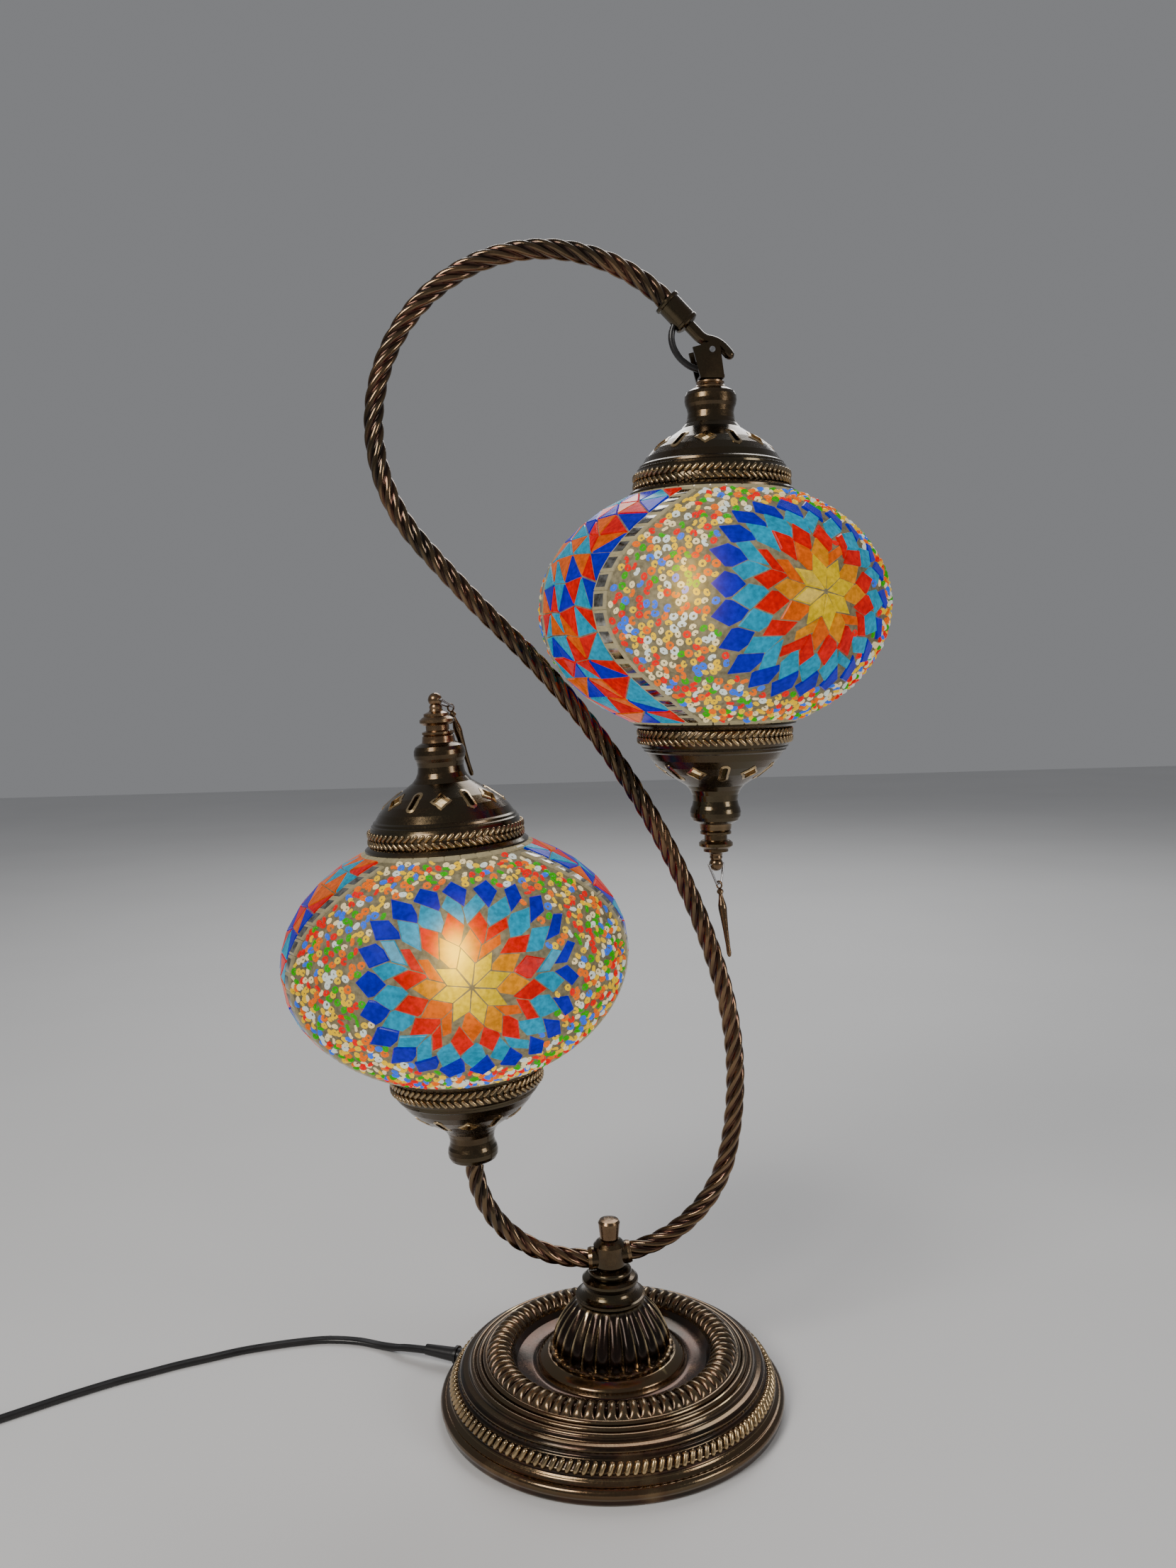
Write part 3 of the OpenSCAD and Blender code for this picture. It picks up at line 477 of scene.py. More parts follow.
def inset(poly, gap):
    cut = poly
    for point, normal in edges_of(poly):
        moved = (point[0] + normal[0] * gap, point[1] + normal[1] * gap)
        cut = clip(cut, moved, normal)
        if len(cut) < 3:
            return []
    return cut


def keep_off(poly, placed):
    """Cuts poly back along whichever edge of each placed piece costs it least."""
    for other in placed:
        if math.dist(centre(poly), centre(other)) > 30 * MM or not overlap(poly, other):
            continue
        best = []
        for point, normal in edges_of(other):
            left = clip(poly, point, (-normal[0], -normal[1]))
            if len(left) >= 3 and (not best or area(left) > area(best)):
                best = left
        if not best:
            return []
        poly = best
    return poly


def centre(poly):
    return (sum(p[0] for p in poly) / len(poly), sum(p[1] for p in poly) / len(poly))


def overlap(poly, other):
    cut = poly
    for point, normal in edges_of(other):
        cut = clip(cut, point, normal)
        if len(cut) < 3:
            return False
    return area(cut) > 1e-8


COBALT = (0.002, 0.003, 0.60)
TURQUOISE = (0.004, 0.42, 0.66)
RED = (0.95, 0.001, 0.001)
ORANGE = (1.0, 0.15, 0.001)
AMBER = (1.0, 0.34, 0.002)
YELLOW = (1.0, 0.66, 0.001)
PALE = (1.0, 0.88, 0.6)
MIRROR_EDGE = (1.0, 0.85, 0.55)

# Count, inner, widest and outer radius in mm, and tints of each ring of rhombi in a medallion
RINGS = ((8, 0.6, 11, 20.5, (YELLOW,)),
         (12, 12, 20.5, 30.0, (ORANGE, AMBER)),
         (16, 21.5, 30, 40.0, (RED,)),
         (21, 31.5, 41, 50.5, (TURQUOISE,)),
         (22, 43.5, 52.5, 61.0, (COBALT,)))


def medallion(rng):
    """Rhombi round a centre, each ring cut to fit the one inside it: (outline, tint)."""
    placed = []
    for count, inner, widest, outer, tints in RINGS:
        ring, spare = [], 5 if placed else 0
        for i in range(count):
            a = TURN * (i + 0.5 * (count % 16 == 12) + rng.uniform(-0.05, 0.05)) / count + 0.2
            half = min(math.pi * widest / count * 1.1, 7.0) * MM
            out, mid, low = outer * MM, widest * MM * rng.uniform(0.98, 1.02), (inner - spare) * MM
            c, s = math.cos(a), math.sin(a)
            poly = [(x * c - y * s, x * s + y * c)
                    for x, y in ((low, -0.4 * half if placed else 0), (mid, -half),
                                 (out * rng.uniform(0.98, 1.02), 0), (mid, half),
                                 (low, 0.4 * half if placed else 0))]
            poly = keep_off(poly, [p for p, _ in placed + ring])
            if len(poly) >= 3 and area(poly) > 25e-6:
                ring.append((poly, rng.choice(tints)))
        placed += ring
    return placed


# Meridian of the globe: distance along it from the equator against the oval's own angle
STEPS = 400
MERIDIAN = [0.0]
for step in range(STEPS):
    t = (step + 0.5) / STEPS * math.pi / 2
    MERIDIAN.append(MERIDIAN[-1] + math.hypot(GLOBE_R * math.sin(t), GLOBE_H * math.cos(t))
                    * math.pi / 2 / STEPS)


def oval_angle(distance):
    low, high = 0, STEPS
    want = min(abs(distance), MERIDIAN[-1] * 0.999)
    while high - low > 1:
        mid = (low + high) // 2
        low, high = (mid, high) if MERIDIAN[mid] <= want else (low, mid)
    part = (want - MERIDIAN[low]) / (MERIDIAN[high] - MERIDIAN[low])
    return math.copysign((low + part) / STEPS * math.pi / 2, distance)


def on_globe(azimuth, distance, proud=0.0):
    """A point of the globe at that azimuth and distance along the meridian, proud of its tile tops."""
    t = oval_angle(distance)
    p = Vector((GLOBE_R * math.cos(t) * math.cos(azimuth), GLOBE_R * math.cos(t) * math.sin(azimuth),
                GLOBE_H * math.sin(t)))
    n = Vector((p.x / GLOBE_R ** 2, p.y / GLOBE_R ** 2, p.z / GLOBE_H ** 2)).normalized()
    return p + n * proud


def unrolled(x, y, azimuth):
    """A flat layout's point, as azimuth and distance along the meridian."""
    return azimuth + x / (GLOBE_R * math.cos(oval_angle(y))), y


# A bead field's half width at the equator and how much it narrows towards the caps, the rise of
# its medallion, the mosaic's edge along the meridian, and the room taken by a row of mirrors
FIELD_HALF = math.radians(71.5)
FIELD_NARROWS = math.radians(15)
RISE = 4 * MM
TOP_S = 81.5 * MM
MIRROR_ROOM = 5 * MM


def field_edge(distance):
    """Half the azimuth that a bead field spans, up to the middle of its mirror row."""
    z = GLOBE_H * math.sin(oval_angle(distance))
    return FIELD_HALF - FIELD_NARROWS * (z / (48 * MM)) ** 2


class Tiles:
    """Collects bevelled flat tiles on the globe into one mesh."""

    def __init__(self):
        self.points, self.faces, self.tints, self.top = [], [], [], []

    def add(self, corners, tint, bevel=0.5 * MM, lift=0.0):
        """corners are (azimuth, distance), anticlockwise from outside."""
        n = len(corners)
        mid = (sum(c[0] for c in corners) / n, sum(c[1] for c in corners) / n)
        start = len(self.points)
        size = min(math.dist(on_globe(*c), on_globe(*mid)) for c in corners)
        for depth, pull in ((-1.5 * MM, 0), (-0.45 * MM + lift, 0), (lift, bevel / size)):
            for c in corners:
                k = min(pull, 0.3)
                at = (c[0] + (mid[0] - c[0]) * k, c[1] + (mid[1] - c[1]) * k)
                self.points.append(on_globe(*at, depth))
        for level in (0, 1):
            for i in range(n):
                j = (i + 1) % n
                a = start + level * n
                self.faces.append((a + i, a + j, a + n + j, a + n + i))
                self.top.append(0)
        self.faces.append(tuple(start + 2 * n + i for i in range(n)))
        self.faces.append(tuple(start + i for i in reversed(range(n))))
        self.top += [1, 0]
        self.tints += [tint] * (3 * n)

    def build(self, name, place, materials, body):
        """With two materials the second one goes on the tiles' tops."""
        pick = self.top if len(materials) > 1 else None
        made = piece(name, [place @ p for p in self.points], self.faces, materials, body, (),
                     25, pick)
        tint = made.data.color_attributes.new("tint", "FLOAT_COLOR", "POINT")
        tint.data.foreach_set("color", [v for c in self.tints for v in (*c, 1)])
        return made


def fan_panel(tiles, rng, left_edge, right_edge, tints):
    """Triangles cut at random between two mirror rows."""
    rows, columns = 12, 4
    lattice = []
    for i in range(rows + 1):
        s = (-1 + 2 * i / rows) * (TOP_S + 1 * MM)
        low, high = left_edge(s), right_edge(s)
        line = []
        for k in range(columns + 1):
            shift = rng.uniform(-0.28, 0.28) if 0 < k < columns else 0
            ds = rng.uniform(-2.4, 2.4) * MM if 0 < i < rows else 0
            line.append((low + (high - low) * (k + shift) / columns, s + ds))
        lattice.append(line)
    last = None
    for i in range(rows):
        for k in range(columns):
            a, b, c, d = lattice[i][k], lattice[i][k + 1], lattice[i + 1][k + 1], lattice[i + 1][k]
            cut = rng.random()
            parts = ([a, b, c], [a, c, d]) if cut < 0.45 else ([a, b, d], [b, c, d])
            for part in parts:
                tint = rng.choice([t for t in tints if t != last])
                last = tint
                scale = GLOBE_R * math.cos(oval_angle(centre(part)[1]))
                flat = [(p[0] * scale, p[1]) for p in part]
                flat = inset(flat, 0.38 * MM)
                if len(flat) >= 3 and area(flat) > 8e-6:
                    tiles.add([(p[0] / scale, p[1]) for p in flat], tint, 0.45 * MM)


def mirror_row(mirrors, azimuth_of):
    """Square mirrors along the edge of a bead field."""
    s = -(TOP_S - 4 * MM)
    while s < TOP_S - 2 * MM:
        here, there = on_globe(azimuth_of(s), s), on_globe(azimuth_of(s + 1 * MM), s + 1 * MM)
        pitch = (there - here).length / (1 * MM)
        half = 4.6 * MM / pitch
        wide = 4.2 * MM / (GLOBE_R * math.cos(oval_angle(s)))
        corners = [(azimuth_of(s - half) - wide, s - half), (azimuth_of(s - half) + wide, s - half),
                   (azimuth_of(s + half) + wide, s + half), (azimuth_of(s + half) - wide, s + half)]
        mirrors.add(corners, MIRROR_EDGE, 1.9 * MM, 0.2 * MM)
        s += 9.6 * MM / pitch


def inside(poly, x, y, grow):
    return all((x - p[0]) * n[0] + (y - p[1]) * n[1] > -grow for p, n in edges_of(poly))


def bead_ground(polys, azimuth):
    """Bare patches of the globe that the beads are strewn on, as points and faces."""
    across, up = 150, 66
    grid, faces = [], []
    for j in range(up + 1):
        s = (-1 + 2 * j / up) * (TOP_S - 0.5 * MM)
        reach = field_edge(s) - 6.6 * MM / (GLOBE_R * math.cos(oval_angle(s)))
        for i in range(across + 1):
            grid.append((reach * (-1 + 2 * i / across), s))
    for j in range(up):
        for i in range(across):
            a = j * (across + 1) + i
            x = (grid[a][0] + grid[a + across + 2][0]) / 2
            s = (grid[a][1] + grid[a + across + 2][1]) / 2
            flat_x, flat_y = x * GLOBE_R * math.cos(oval_angle(s)), s - RISE
            near = math.hypot(flat_x, flat_y) < 64 * MM
            if near and any(inside(p, flat_x, flat_y, 1.9 * MM) for p in polys):
                continue
            faces.append((a, a + 1, a + across + 2, a + across + 1))
    return [on_globe(azimuth + x, s, -1.15 * MM) for x, s in grid], faces


# ---------------------------------------------------------------- geometry node trees

def geometry_tree(name, inputs):
    tree = bpy.data.node_groups.new(name, "GeometryNodeTree")
    tree.interface.new_socket("Geometry", in_out="INPUT", socket_type="NodeSocketGeometry")
    for label, kind in inputs:
        tree.interface.new_socket(label, in_out="INPUT", socket_type="NodeSocket" + kind)
    tree.interface.new_socket("Geometry", in_out="OUTPUT", socket_type="NodeSocketGeometry")
    into, out = tree.nodes.new("NodeGroupInput"), tree.nodes.new("NodeGroupOutput")
    return Tree(tree), into.outputs, out.inputs["Geometry"]


def finish_tree(t, geometry, made, out):
    solid = t.add("GeometryNodeRealizeInstances", {"Geometry": geometry}).outputs[0]
    smooth = t.add("GeometryNodeSetShadeSmooth", {"Geometry": solid}).outputs[0]
    dressed = t.add("GeometryNodeSetMaterial", {"Geometry": smooth, "Material": made}).outputs[0]
    t.tree.links.new(dressed, out)


def build_strewn_beads():
    """Small glass rings strewn over faces, each with its own tilt, size and colour pick."""
    t, given, out = geometry_tree("strewn_beads", [
        ("Spacing", "Float"), ("Bead radius", "Float"), ("Seed", "Int"), ("Material", "Material")])
    strewn = t.add("GeometryNodeDistributePointsOnFaces", {
        "Mesh": given["Geometry"], "Distance Min": given["Spacing"], "Density Max": 200000.0,
        "Density Factor": 1.0, "Seed": given["Seed"]}, distribute_method="POISSON")
    ring = t.add("GeometryNodeCurvePrimitiveCircle", {
        "Resolution": 8, "Radius": t.math("MULTIPLY", given["Bead radius"], 0.65)})
    section = t.add("GeometryNodeCurvePrimitiveCircle", {
        "Resolution": 5, "Radius": t.math("MULTIPLY", given["Bead radius"], 0.37)})
    bead = t.add("GeometryNodeCurveToMesh", {
        "Curve": ring.outputs["Curve"], "Profile Curve": section.outputs["Curve"]})
    tumble = t.add("FunctionNodeRandomValue", {
        "Min": (-0.75, -0.75, 0.0), "Max": (0.75, 0.75, 3.0), "Seed": given["Seed"]},
        data_type="FLOAT_VECTOR")
    turned = t.add("FunctionNodeRotateRotation", {
        "Rotation": strewn.outputs["Rotation"], "Rotate By": tumble.outputs[0]}, rotation_space="LOCAL")
    size = t.add("FunctionNodeRandomValue", {2: 0.88, 3: 1.12, "Seed": given["Seed"]}, data_type="FLOAT")
    placed = t.add("GeometryNodeInstanceOnPoints", {
        "Points": strewn.outputs["Points"], "Instance": bead.outputs[0],
        "Rotation": turned.outputs[0], "Scale": size.outputs[1]})
    chance = t.add("FunctionNodeRandomValue", {2: 0.0, 3: 1.0, "Seed": given["Seed"]}, data_type="FLOAT")
    picked = t.add("GeometryNodeStoreNamedAttribute", {
        "Geometry": placed.outputs[0], "Name": "bead_pick", "Value": chance.outputs[1]},
        data_type="FLOAT", domain="INSTANCE")
    finish_tree(t, picked.outputs[0], given["Material"], out)
    return t.tree


def build_leaf_ring():
    """Rounded leaves set round a circle: a braid's strands or a gadroon's ribs."""
    t, given, out = geometry_tree("leaf_ring", [
        ("Count", "Int"), ("Radius", "Float"), ("Height", "Float"), ("Slant", "Float"), ("Lean", "Float"),
        ("Size", "Vector"), ("Material", "Material")])
    circle = t.add("GeometryNodeMeshCircle", {"Vertices": given["Count"], "Radius": given["Radius"]})
    lift = t.add("ShaderNodeCombineXYZ", {2: given["Height"]})
    raised = t.add("GeometryNodeSetPosition", {"Geometry": circle.outputs[0], "Offset": lift.outputs[0]})
    where = t.add("GeometryNodeInputPosition").outputs[0]
    outward = t.add("FunctionNodeAlignRotationToVector", {"Vector": where}, axis="X", pivot_axis="Z")
    tip = t.add("ShaderNodeCombineXYZ", {1: t.math("MULTIPLY", given["Lean"], -1.0)})
    leaned = t.add("FunctionNodeRotateRotation", {
        "Rotation": outward.outputs[0], "Rotate By": tip.outputs[0]}, rotation_space="LOCAL")
    twist = t.add("ShaderNodeCombineXYZ", {0: given["Slant"]})
    slanted = t.add("FunctionNodeRotateRotation", {
        "Rotation": leaned.outputs[0], "Rotate By": twist.outputs[0]}, rotation_space="LOCAL")
    ball = t.add("GeometryNodeMeshUVSphere", {"Segments": 10, "Rings": 11, "Radius": 1.0})
    split = t.add("ShaderNodeSeparateXYZ", {0: where}).outputs
    drawn_out = t.math("POWER", t.math("ABSOLUTE", split[2]), 0.55)
    blunt = t.math("MULTIPLY", t.math("SIGN", split[2]), drawn_out)
    end = t.add("ShaderNodeCombineXYZ", {0: split[0], 1: split[1], 2: blunt})
    leaf = t.add("GeometryNodeSetPosition", {"Geometry": ball.outputs[0], "Position": end.outputs[0]})
    placed = t.add("GeometryNodeInstanceOnPoints", {
        "Points": raised.outputs[0], "Instance": leaf.outputs[0], "Rotation": slanted.outputs[0],
        "Scale": given["Size"]})
    finish_tree(t, placed.outputs[0], given["Material"], out)
    return t.tree


def build_rope_pipe():
    """A pipe of twisted strands swept along a line."""
    t, given, out = geometry_tree("rope_pipe", [
        ("Radius", "Float"), ("Groove", "Float"), ("Strands", "Float"), ("Pitch", "Float"),
        ("Step", "Float"), ("Material", "Material")])
    line = t.add("GeometryNodeResampleCurve", {"Curve": given["Geometry"], "Length": given["Step"]},
                 mode="LENGTH")
    run = t.add("GeometryNodeSplineParameter").outputs["Length"]
    turns = t.math("MULTIPLY", t.math("DIVIDE", run, given["Pitch"]), TURN)
    tilted = t.add("GeometryNodeSetCurveTilt", {"Curve": line.outputs[0], "Tilt": turns})
    circle = t.add("GeometryNodeCurvePrimitiveCircle", {"Resolution": 48, "Radius": given["Radius"]})
    where = t.add("GeometryNodeInputPosition").outputs[0]
    split = t.add("ShaderNodeSeparateXYZ", {0: where}).outputs
    angle = t.math("ARCTAN2", split[1], split[0])
    wave = t.math("COSINE", t.math("MULTIPLY", angle, t.math("MULTIPLY", given["Strands"], 0.5)))
    hollow = t.math("SUBTRACT", 1.0, t.math("ABSOLUTE", wave))
    sunk = t.math("DIVIDE", t.math("MULTIPLY", hollow, given["Groove"]), given["Radius"])
    scale = t.math("SUBTRACT", 1.0, sunk)
    shaped = t.add("ShaderNodeVectorMath", {0: where, "Scale": scale}, operation="SCALE").outputs[0]
    profile = t.add("GeometryNodeSetPosition", {"Geometry": circle.outputs[0], "Position": shaped})
    pipe = t.add("GeometryNodeCurveToMesh", {
        "Curve": tilted.outputs[0], "Profile Curve": profile.outputs[0], "Fill Caps": True})
    finish_tree(t, pipe.outputs[0], given["Material"], out)
    return t.tree


STREWN_BEADS = build_strewn_beads()
LEAF_RING = build_leaf_ring()
ROPE_PIPE = build_rope_pipe()


def grown(name, tree, source, values, body, place=None, stands_for=()):
    """Runs a geometry tree on source and keeps its result as a plain mesh piece."""
    holder = bpy.data.objects.new(name + "_source", source)
    bpy.context.scene.collection.objects.link(holder)
    modifier = holder.modifiers.new("grow", "NODES")
    modifier.node_group = tree
    for item in tree.interface.items_tree:
        if item.in_out == "INPUT" and item.name in values:
            modifier[item.identifier] = values[item.name]
    bpy.context.view_layer.update()
    ready = holder.evaluated_get(bpy.context.evaluated_depsgraph_get())
    mesh = bpy.data.meshes.new_from_object(ready)
    mesh.name = name
    bpy.data.objects.remove(holder)
    if place:
        mesh.transform(place)
        if place.determinant() < 0:
            mesh.flip_normals()
    made = bpy.data.objects.new(name, mesh)
    bpy.context.scene.collection.objects.link(made)
    return settle(made, body, stands_for)


def leaf_ring(name, body, place, made, slot, **values):
    values["Material"] = made
    return grown(name, LEAF_RING, bpy.data.meshes.new(name + "_empty"),
                 {k.replace("_", " "): v for k, v in values.items()}, body, place, ())


# ---------------------------------------------------------------- the cord

CORD_W, CORD_T = 6 * MM, 3.6 * MM
CORD_EXIT = math.radians(155)
# Heights of the cord's middle in mm: at the base's bore, lying on the table, and a layer of the coil
BORE_UP = 7.5
FLAT = 1.8
LAYER = 3.7
LEAD = ((-122, 57.5, 5.6), (-130, 63, 3.4), (-140, 69.5, FLAT), (-154, 76, FLAT), (-173, 80, FLAT),
        (-192, 79, FLAT), (-210, 76, FLAT), (-227, 72, FLAT), (-244, 66, FLAT), (-261, 60, FLAT),
        (-277, 53, FLAT), (-293, 46, FLAT), (-308, 38, FLAT), (-322, 30, FLAT), (-343, 17, FLAT),
        (-364, 4, FLAT))
LINK = ((-416, -28, FLAT), (-429, -34, FLAT), (-442, -34, FLAT), (-454, -28, FLAT), (-463, -16, FLAT),
        (-468, 0, FLAT), (-470, 16, FLAT))
TAIL = ((-471, 54, 5.5), (-470, 62, 5.7), (-468.5, 70, 6.3), (-467, 79, 7))
COIL = (-430, 36)
COIL_BANDS = (41, 35, 29, 29, 35, 41)


def coil_points():
    """Three turns inwards on the table, then three outwards on top of them."""
    per_turn, points = 24, []
    for turn, band in enumerate(COIL_BANDS):
        after = COIL_BANDS[min(turn + 1, len(COIL_BANDS) - 1)]
        for k in range(per_turn):
            part = k / per_turn
            slide = min(max((part - 0.7) / 0.3, 0), 1)
            slide = slide * slide * (3 - 2 * slide)
            radius = band + (after - band) * slide
            layer = 0 if turn < 2 else slide if turn == 2 else 1
            a = math.pi - TURN * part
            points.append((COIL[0] + radius * math.cos(a), COIL[1] + radius * math.sin(a),
                           FLAT + LAYER * layer))
    return points


def smooth_route(points, n):
    """Catmull-Rom through the points, n to a span."""
    out = []
    for i in range(len(points) - 1):
        a, b = points[max(i - 1, 0)], points[i]
        c, d = points[i + 1], points[min(i + 2, len(points) - 1)]
        for k in range(n):
            t = k / n
            out.append(0.5 * (2 * b + (c - a) * t + (2 * a - 5 * b + 4 * c - d) * t * t
                              + (3 * b - a - 3 * c + d) * t ** 3))
    return out + [points[-1]]


def cord_section():
    """Two round cores side by side with a groove between them."""
    section = []
    for i in range(20):
        a = TURN * i / 20
        x, y = math.cos(a) * CORD_W / 2, math.sin(a) * CORD_T / 2
        pinch = 1 - 0.30 * math.exp(-(x / (0.7 * MM)) ** 2)
        section.append((math.copysign(abs(x / (CORD_W / 2)) ** 0.75, x) * CORD_W / 2, y * pinch))
    return section


def make_cord():
    out = Vector((math.cos(CORD_EXIT), math.sin(CORD_EXIT), 0))
    up = Vector((0, 0, BORE_UP))
    start = [out * 105 + up, out * 113 + up]
    route = start + [Vector(p) for p in LEAD + LINK + tuple(coil_points()) + TAIL]
    route = [p * MM for p in smooth_route(route, 4)]
    section = cord_section()
    n = len(section)
    points, faces = [], []
    for i, p in enumerate(route):
        ahead = (route[min(i + 1, len(route) - 1)] - route[max(i - 1, 0)]).normalized()
        across = Vector((0, 0, 1)).cross(ahead).normalized()
        above = ahead.cross(across)
        points += [p + across * x + above * y for x, y in section]
    for i in range(len(route) - 1):
        for k in range(n):
            j = (k + 1) % n
            a = i * n
            faces.append((a + k, a + j, a + n + j, a + n + k))
    faces.append(tuple(reversed(range(n))))
    faces.append(tuple(range((len(route) - 1) * n, len(route) * n)))
    cord = piece("mains_cord", points, faces, [rubber], "lamp",
                 ("cord_lead", "cord_link", "cord_coil", "cord_tail"), 60)


make_cord()


# ---------------------------------------------------------------- the globes

def make_globe(name, place, body, bulb, azimuth, seed, hot):
    """Clear glass, grout, rhombi, cut triangles, mirrors and beads of one globe."""
    rng = random.Random(seed)
    tile_glass = lit_glass(name + "_stained_glass", bulb, tint="tint", level=(0.7, 1.0), strength=0.92,
                           roughness=0.16, hot=hot)
    bead_glass = lit_glass(name + "_bead_glass", bulb, pick="bead_pick", level=(0.6, 1.15), strength=1.05,
                           roughness=0.08, mottle=0.1, hot=hot * 0.5)
    grout = lit_glass(name + "_grout", bulb, plain=(0.50, 0.42, 0.24), level=(0.3, 0.9), strength=0.7,
                      roughness=0.6, mottle=0.4, hot=hot * 0.4)
    edge_glass = lit_glass(name + "_clear_edge_glass", bulb, plain=(0.85, 0.72, 0.42), level=(0.35, 0.7),
                           strength=0.7, roughness=0.1, mottle=0.2, hot=0.0)

    # The bowl: grout outside, glass inside, from one cap's lip to the other
    reach = math.asin(MOUTH / GLOBE_H)
    outside, inside_wall = [], []
    for i in range(49):
        t = reach * (-1 + 2 * i / 48)
        n = Vector((math.cos(t) / GLOBE_R, math.sin(t) / GLOBE_H)).normalized()
        outside.append((GLOBE_R * math.cos(t) - n.x * 1.3 * MM, GLOBE_H * math.sin(t) - n.y * 1.3 * MM))
        inside_wall.append((92.5 * MM * math.cos(t), 66.5 * MM * math.sin(t)))
    inside_wall = [(r, max(min(z, MOUTH), -MOUTH)) for r, z in inside_wall]
    points, faces = lathe(outside + inside_wall[::-1], 144)
    piece(name + "_grout_bowl", [place @ p for p in points], faces, [grout], body, (name + "_globe",),
          60)

    tiles, mirrors = Tiles(), Tiles()
    for turn in (0, 1):
        middle = azimuth + math.pi * turn
        polys = []
        for poly, tint in medallion(rng):
            polys.append(poly)
            cut = inset(poly, 0.34 * MM)
            if len(cut) >= 3:
                tiles.add([unrolled(x, y + RISE, middle) for x, y in cut], tint)
        points, faces = bead_ground(polys, middle)
        ground = bpy.data.meshes.new(name + "_ground")
        ground.from_pydata([tuple(p) for p in points], [], faces)
        grown("%s_beads_%d" % (name, turn + 1), STREWN_BEADS, ground,
              {"Spacing": 3.15 * MM, "Bead radius": 2.1 * MM, "Seed": seed + turn,
               "Material": bead_glass}, body, place, ())
        for side in (-1, 1):
            mirror_row(mirrors, lambda s: middle + side * field_edge(s))

        def past_mirrors(s):
            return field_edge(s) + MIRROR_ROOM / (GLOBE_R * math.cos(oval_angle(s)))
        fan_panel(tiles, rng, lambda s: middle + past_mirrors(s),
                  lambda s: middle + math.pi - past_mirrors(s), (RED, ORANGE, TURQUOISE, COBALT))

    # Pale glass bars next to the caps
    bars = Tiles()
    count = 34
    for end in (-1, 1):
        for i in range(count):
            a = TURN * i / count
            half = TURN / count * 0.46
            low, high = sorted((end * (TOP_S + 0.9 * MM), end * (TOP_S + 4.0 * MM)))
            bars.add([(a - half, low), (a + half, low), (a + half, high), (a - half, high)],
                     PALE, 0.5 * MM)
    tiles.build(name + "_cut_glass", place, [tile_glass], body)
    bars.build(name + "_pale_bars", place, [edge_glass], body)
    mirrors.build(name + "_mirrors", place, [edge_glass, silver], body)


make_globe("upper", UPPER, "pendant", UPPER_BULB, math.radians(-64.4), 11, 0.45)
make_globe("lower", LOWER, "lamp", LOWER_BULB, math.radians(-83.6), 23, 0.95)


# ---------------------------------------------------------------- caps and cups

def cap_braid(name, place, body):
    """Two rows of leaves laid against each other round the cap's lip."""
    for row, (height, slant) in enumerate(((5.4, 0.85), (9.6, -0.85))):
        leaf_ring("%s_braid_%d" % (name, row + 1), body, place @ Matrix.Translation((0, 0, MOUTH)),
                  ridge_bronze, "antique bronze", Count=68, Radius=42.2 * MM, Height=height * MM,
                  Slant=slant, Lean=0.05, Size=(1.1 * MM, 1.15 * MM, 2.7 * MM))


DOME = ((16.4, 35.4), (21.2, 32.2), (27.4, 28.3), (32.2, 24.4), (35.8, 20.4), (38.2, 16.6))


def on_dome(azimuth, across, up, proud):
    """A point of the cap's dome, across and up from the middle of an opening, in mm."""
    height = 27 + up * 0.68
    for (r0, u0), (r1, u1) in zip(DOME, DOME[1:]):
        if u1 <= height <= u0 or (r1, u1) == DOME[-1]:
            radius = r0 + (r1 - r0) * (u0 - height) / (u0 - u1)
            break
    a = azimuth + across / radius
    radius, height = (radius + proud * 0.68) * MM, (height + proud * 0.73) * MM
    return Vector((radius * math.cos(a), radius * math.sin(a), height))


def opening_rim(azimuth, inner, outer, points, faces):
    """A raised rim between two outlines that have as many points as each other."""
    n, start = len(inner), len(points)
    loops = ((outer, -0.3), (outer, 0.25), (inner, 0.55), (inner, -0.9))
    for loop, proud in loops:
        points += [on_dome(azimuth, x, y, proud) for x, y in loop]
    for k in range(4):
        for i in range(n):
            j = (i + 1) % n
            a, b = start + k * n, start + (k + 1) % 4 * n
            faces.append((a + i, a + j, b + j, b + i))


def star(tip, waist):
    """Four points with hollow sides between them."""
    out = []
    for i in range(16):
        a, k = TURN * i / 16, abs((i % 4) - 2) / 2
        size = waist + (tip - waist) * k ** 1.6
        out.append((size * math.cos(a), size * math.sin(a)))
    return out


def obround(half_width, half_length):
    out = []
    for i in range(16):
        a = TURN * (i + 0.5) / 16
        y = half_width * math.sin(a)
        out.append((half_width * math.cos(a), y + math.copysign(half_length - half_width, y)))
    return out


def cap_openings(name, place, body, turn):
    """Rims round the pierced stars and slots, and the lit lining seen through the stars."""
    points, faces, lining, panes = [], [], [], []
    for i in range(6):
        a = TURN * i / 6 + math.radians(turn)
        opening_rim(a, star(4.5, 2.9), star(6.0, 4.0), points, faces)
        opening_rim(a + TURN / 12, obround(1.5, 5.4), obround(2.9, 7.0), points, faces)
        start = len(lining)
        lining += [on_dome(a, x, y, -1.7) for x, y in ((-4.6, 0), (0, -4.6), (4.6, 0), (0, 4.6))]
        panes.append((start, start + 1, start + 2, start + 3))
    lift = place @ Matrix.Translation((0, 0, MOUTH))
    if lift.determinant() < 0:
        faces, panes = [f[::-1] for f in faces], [f[::-1] for f in panes]
    piece(name + "_rims", [lift @ p for p in points], faces, [ridge_bronze], body, ())
    piece(name + "_lit_lining", [lift @ p for p in lining], panes, [lamplight], body, ())


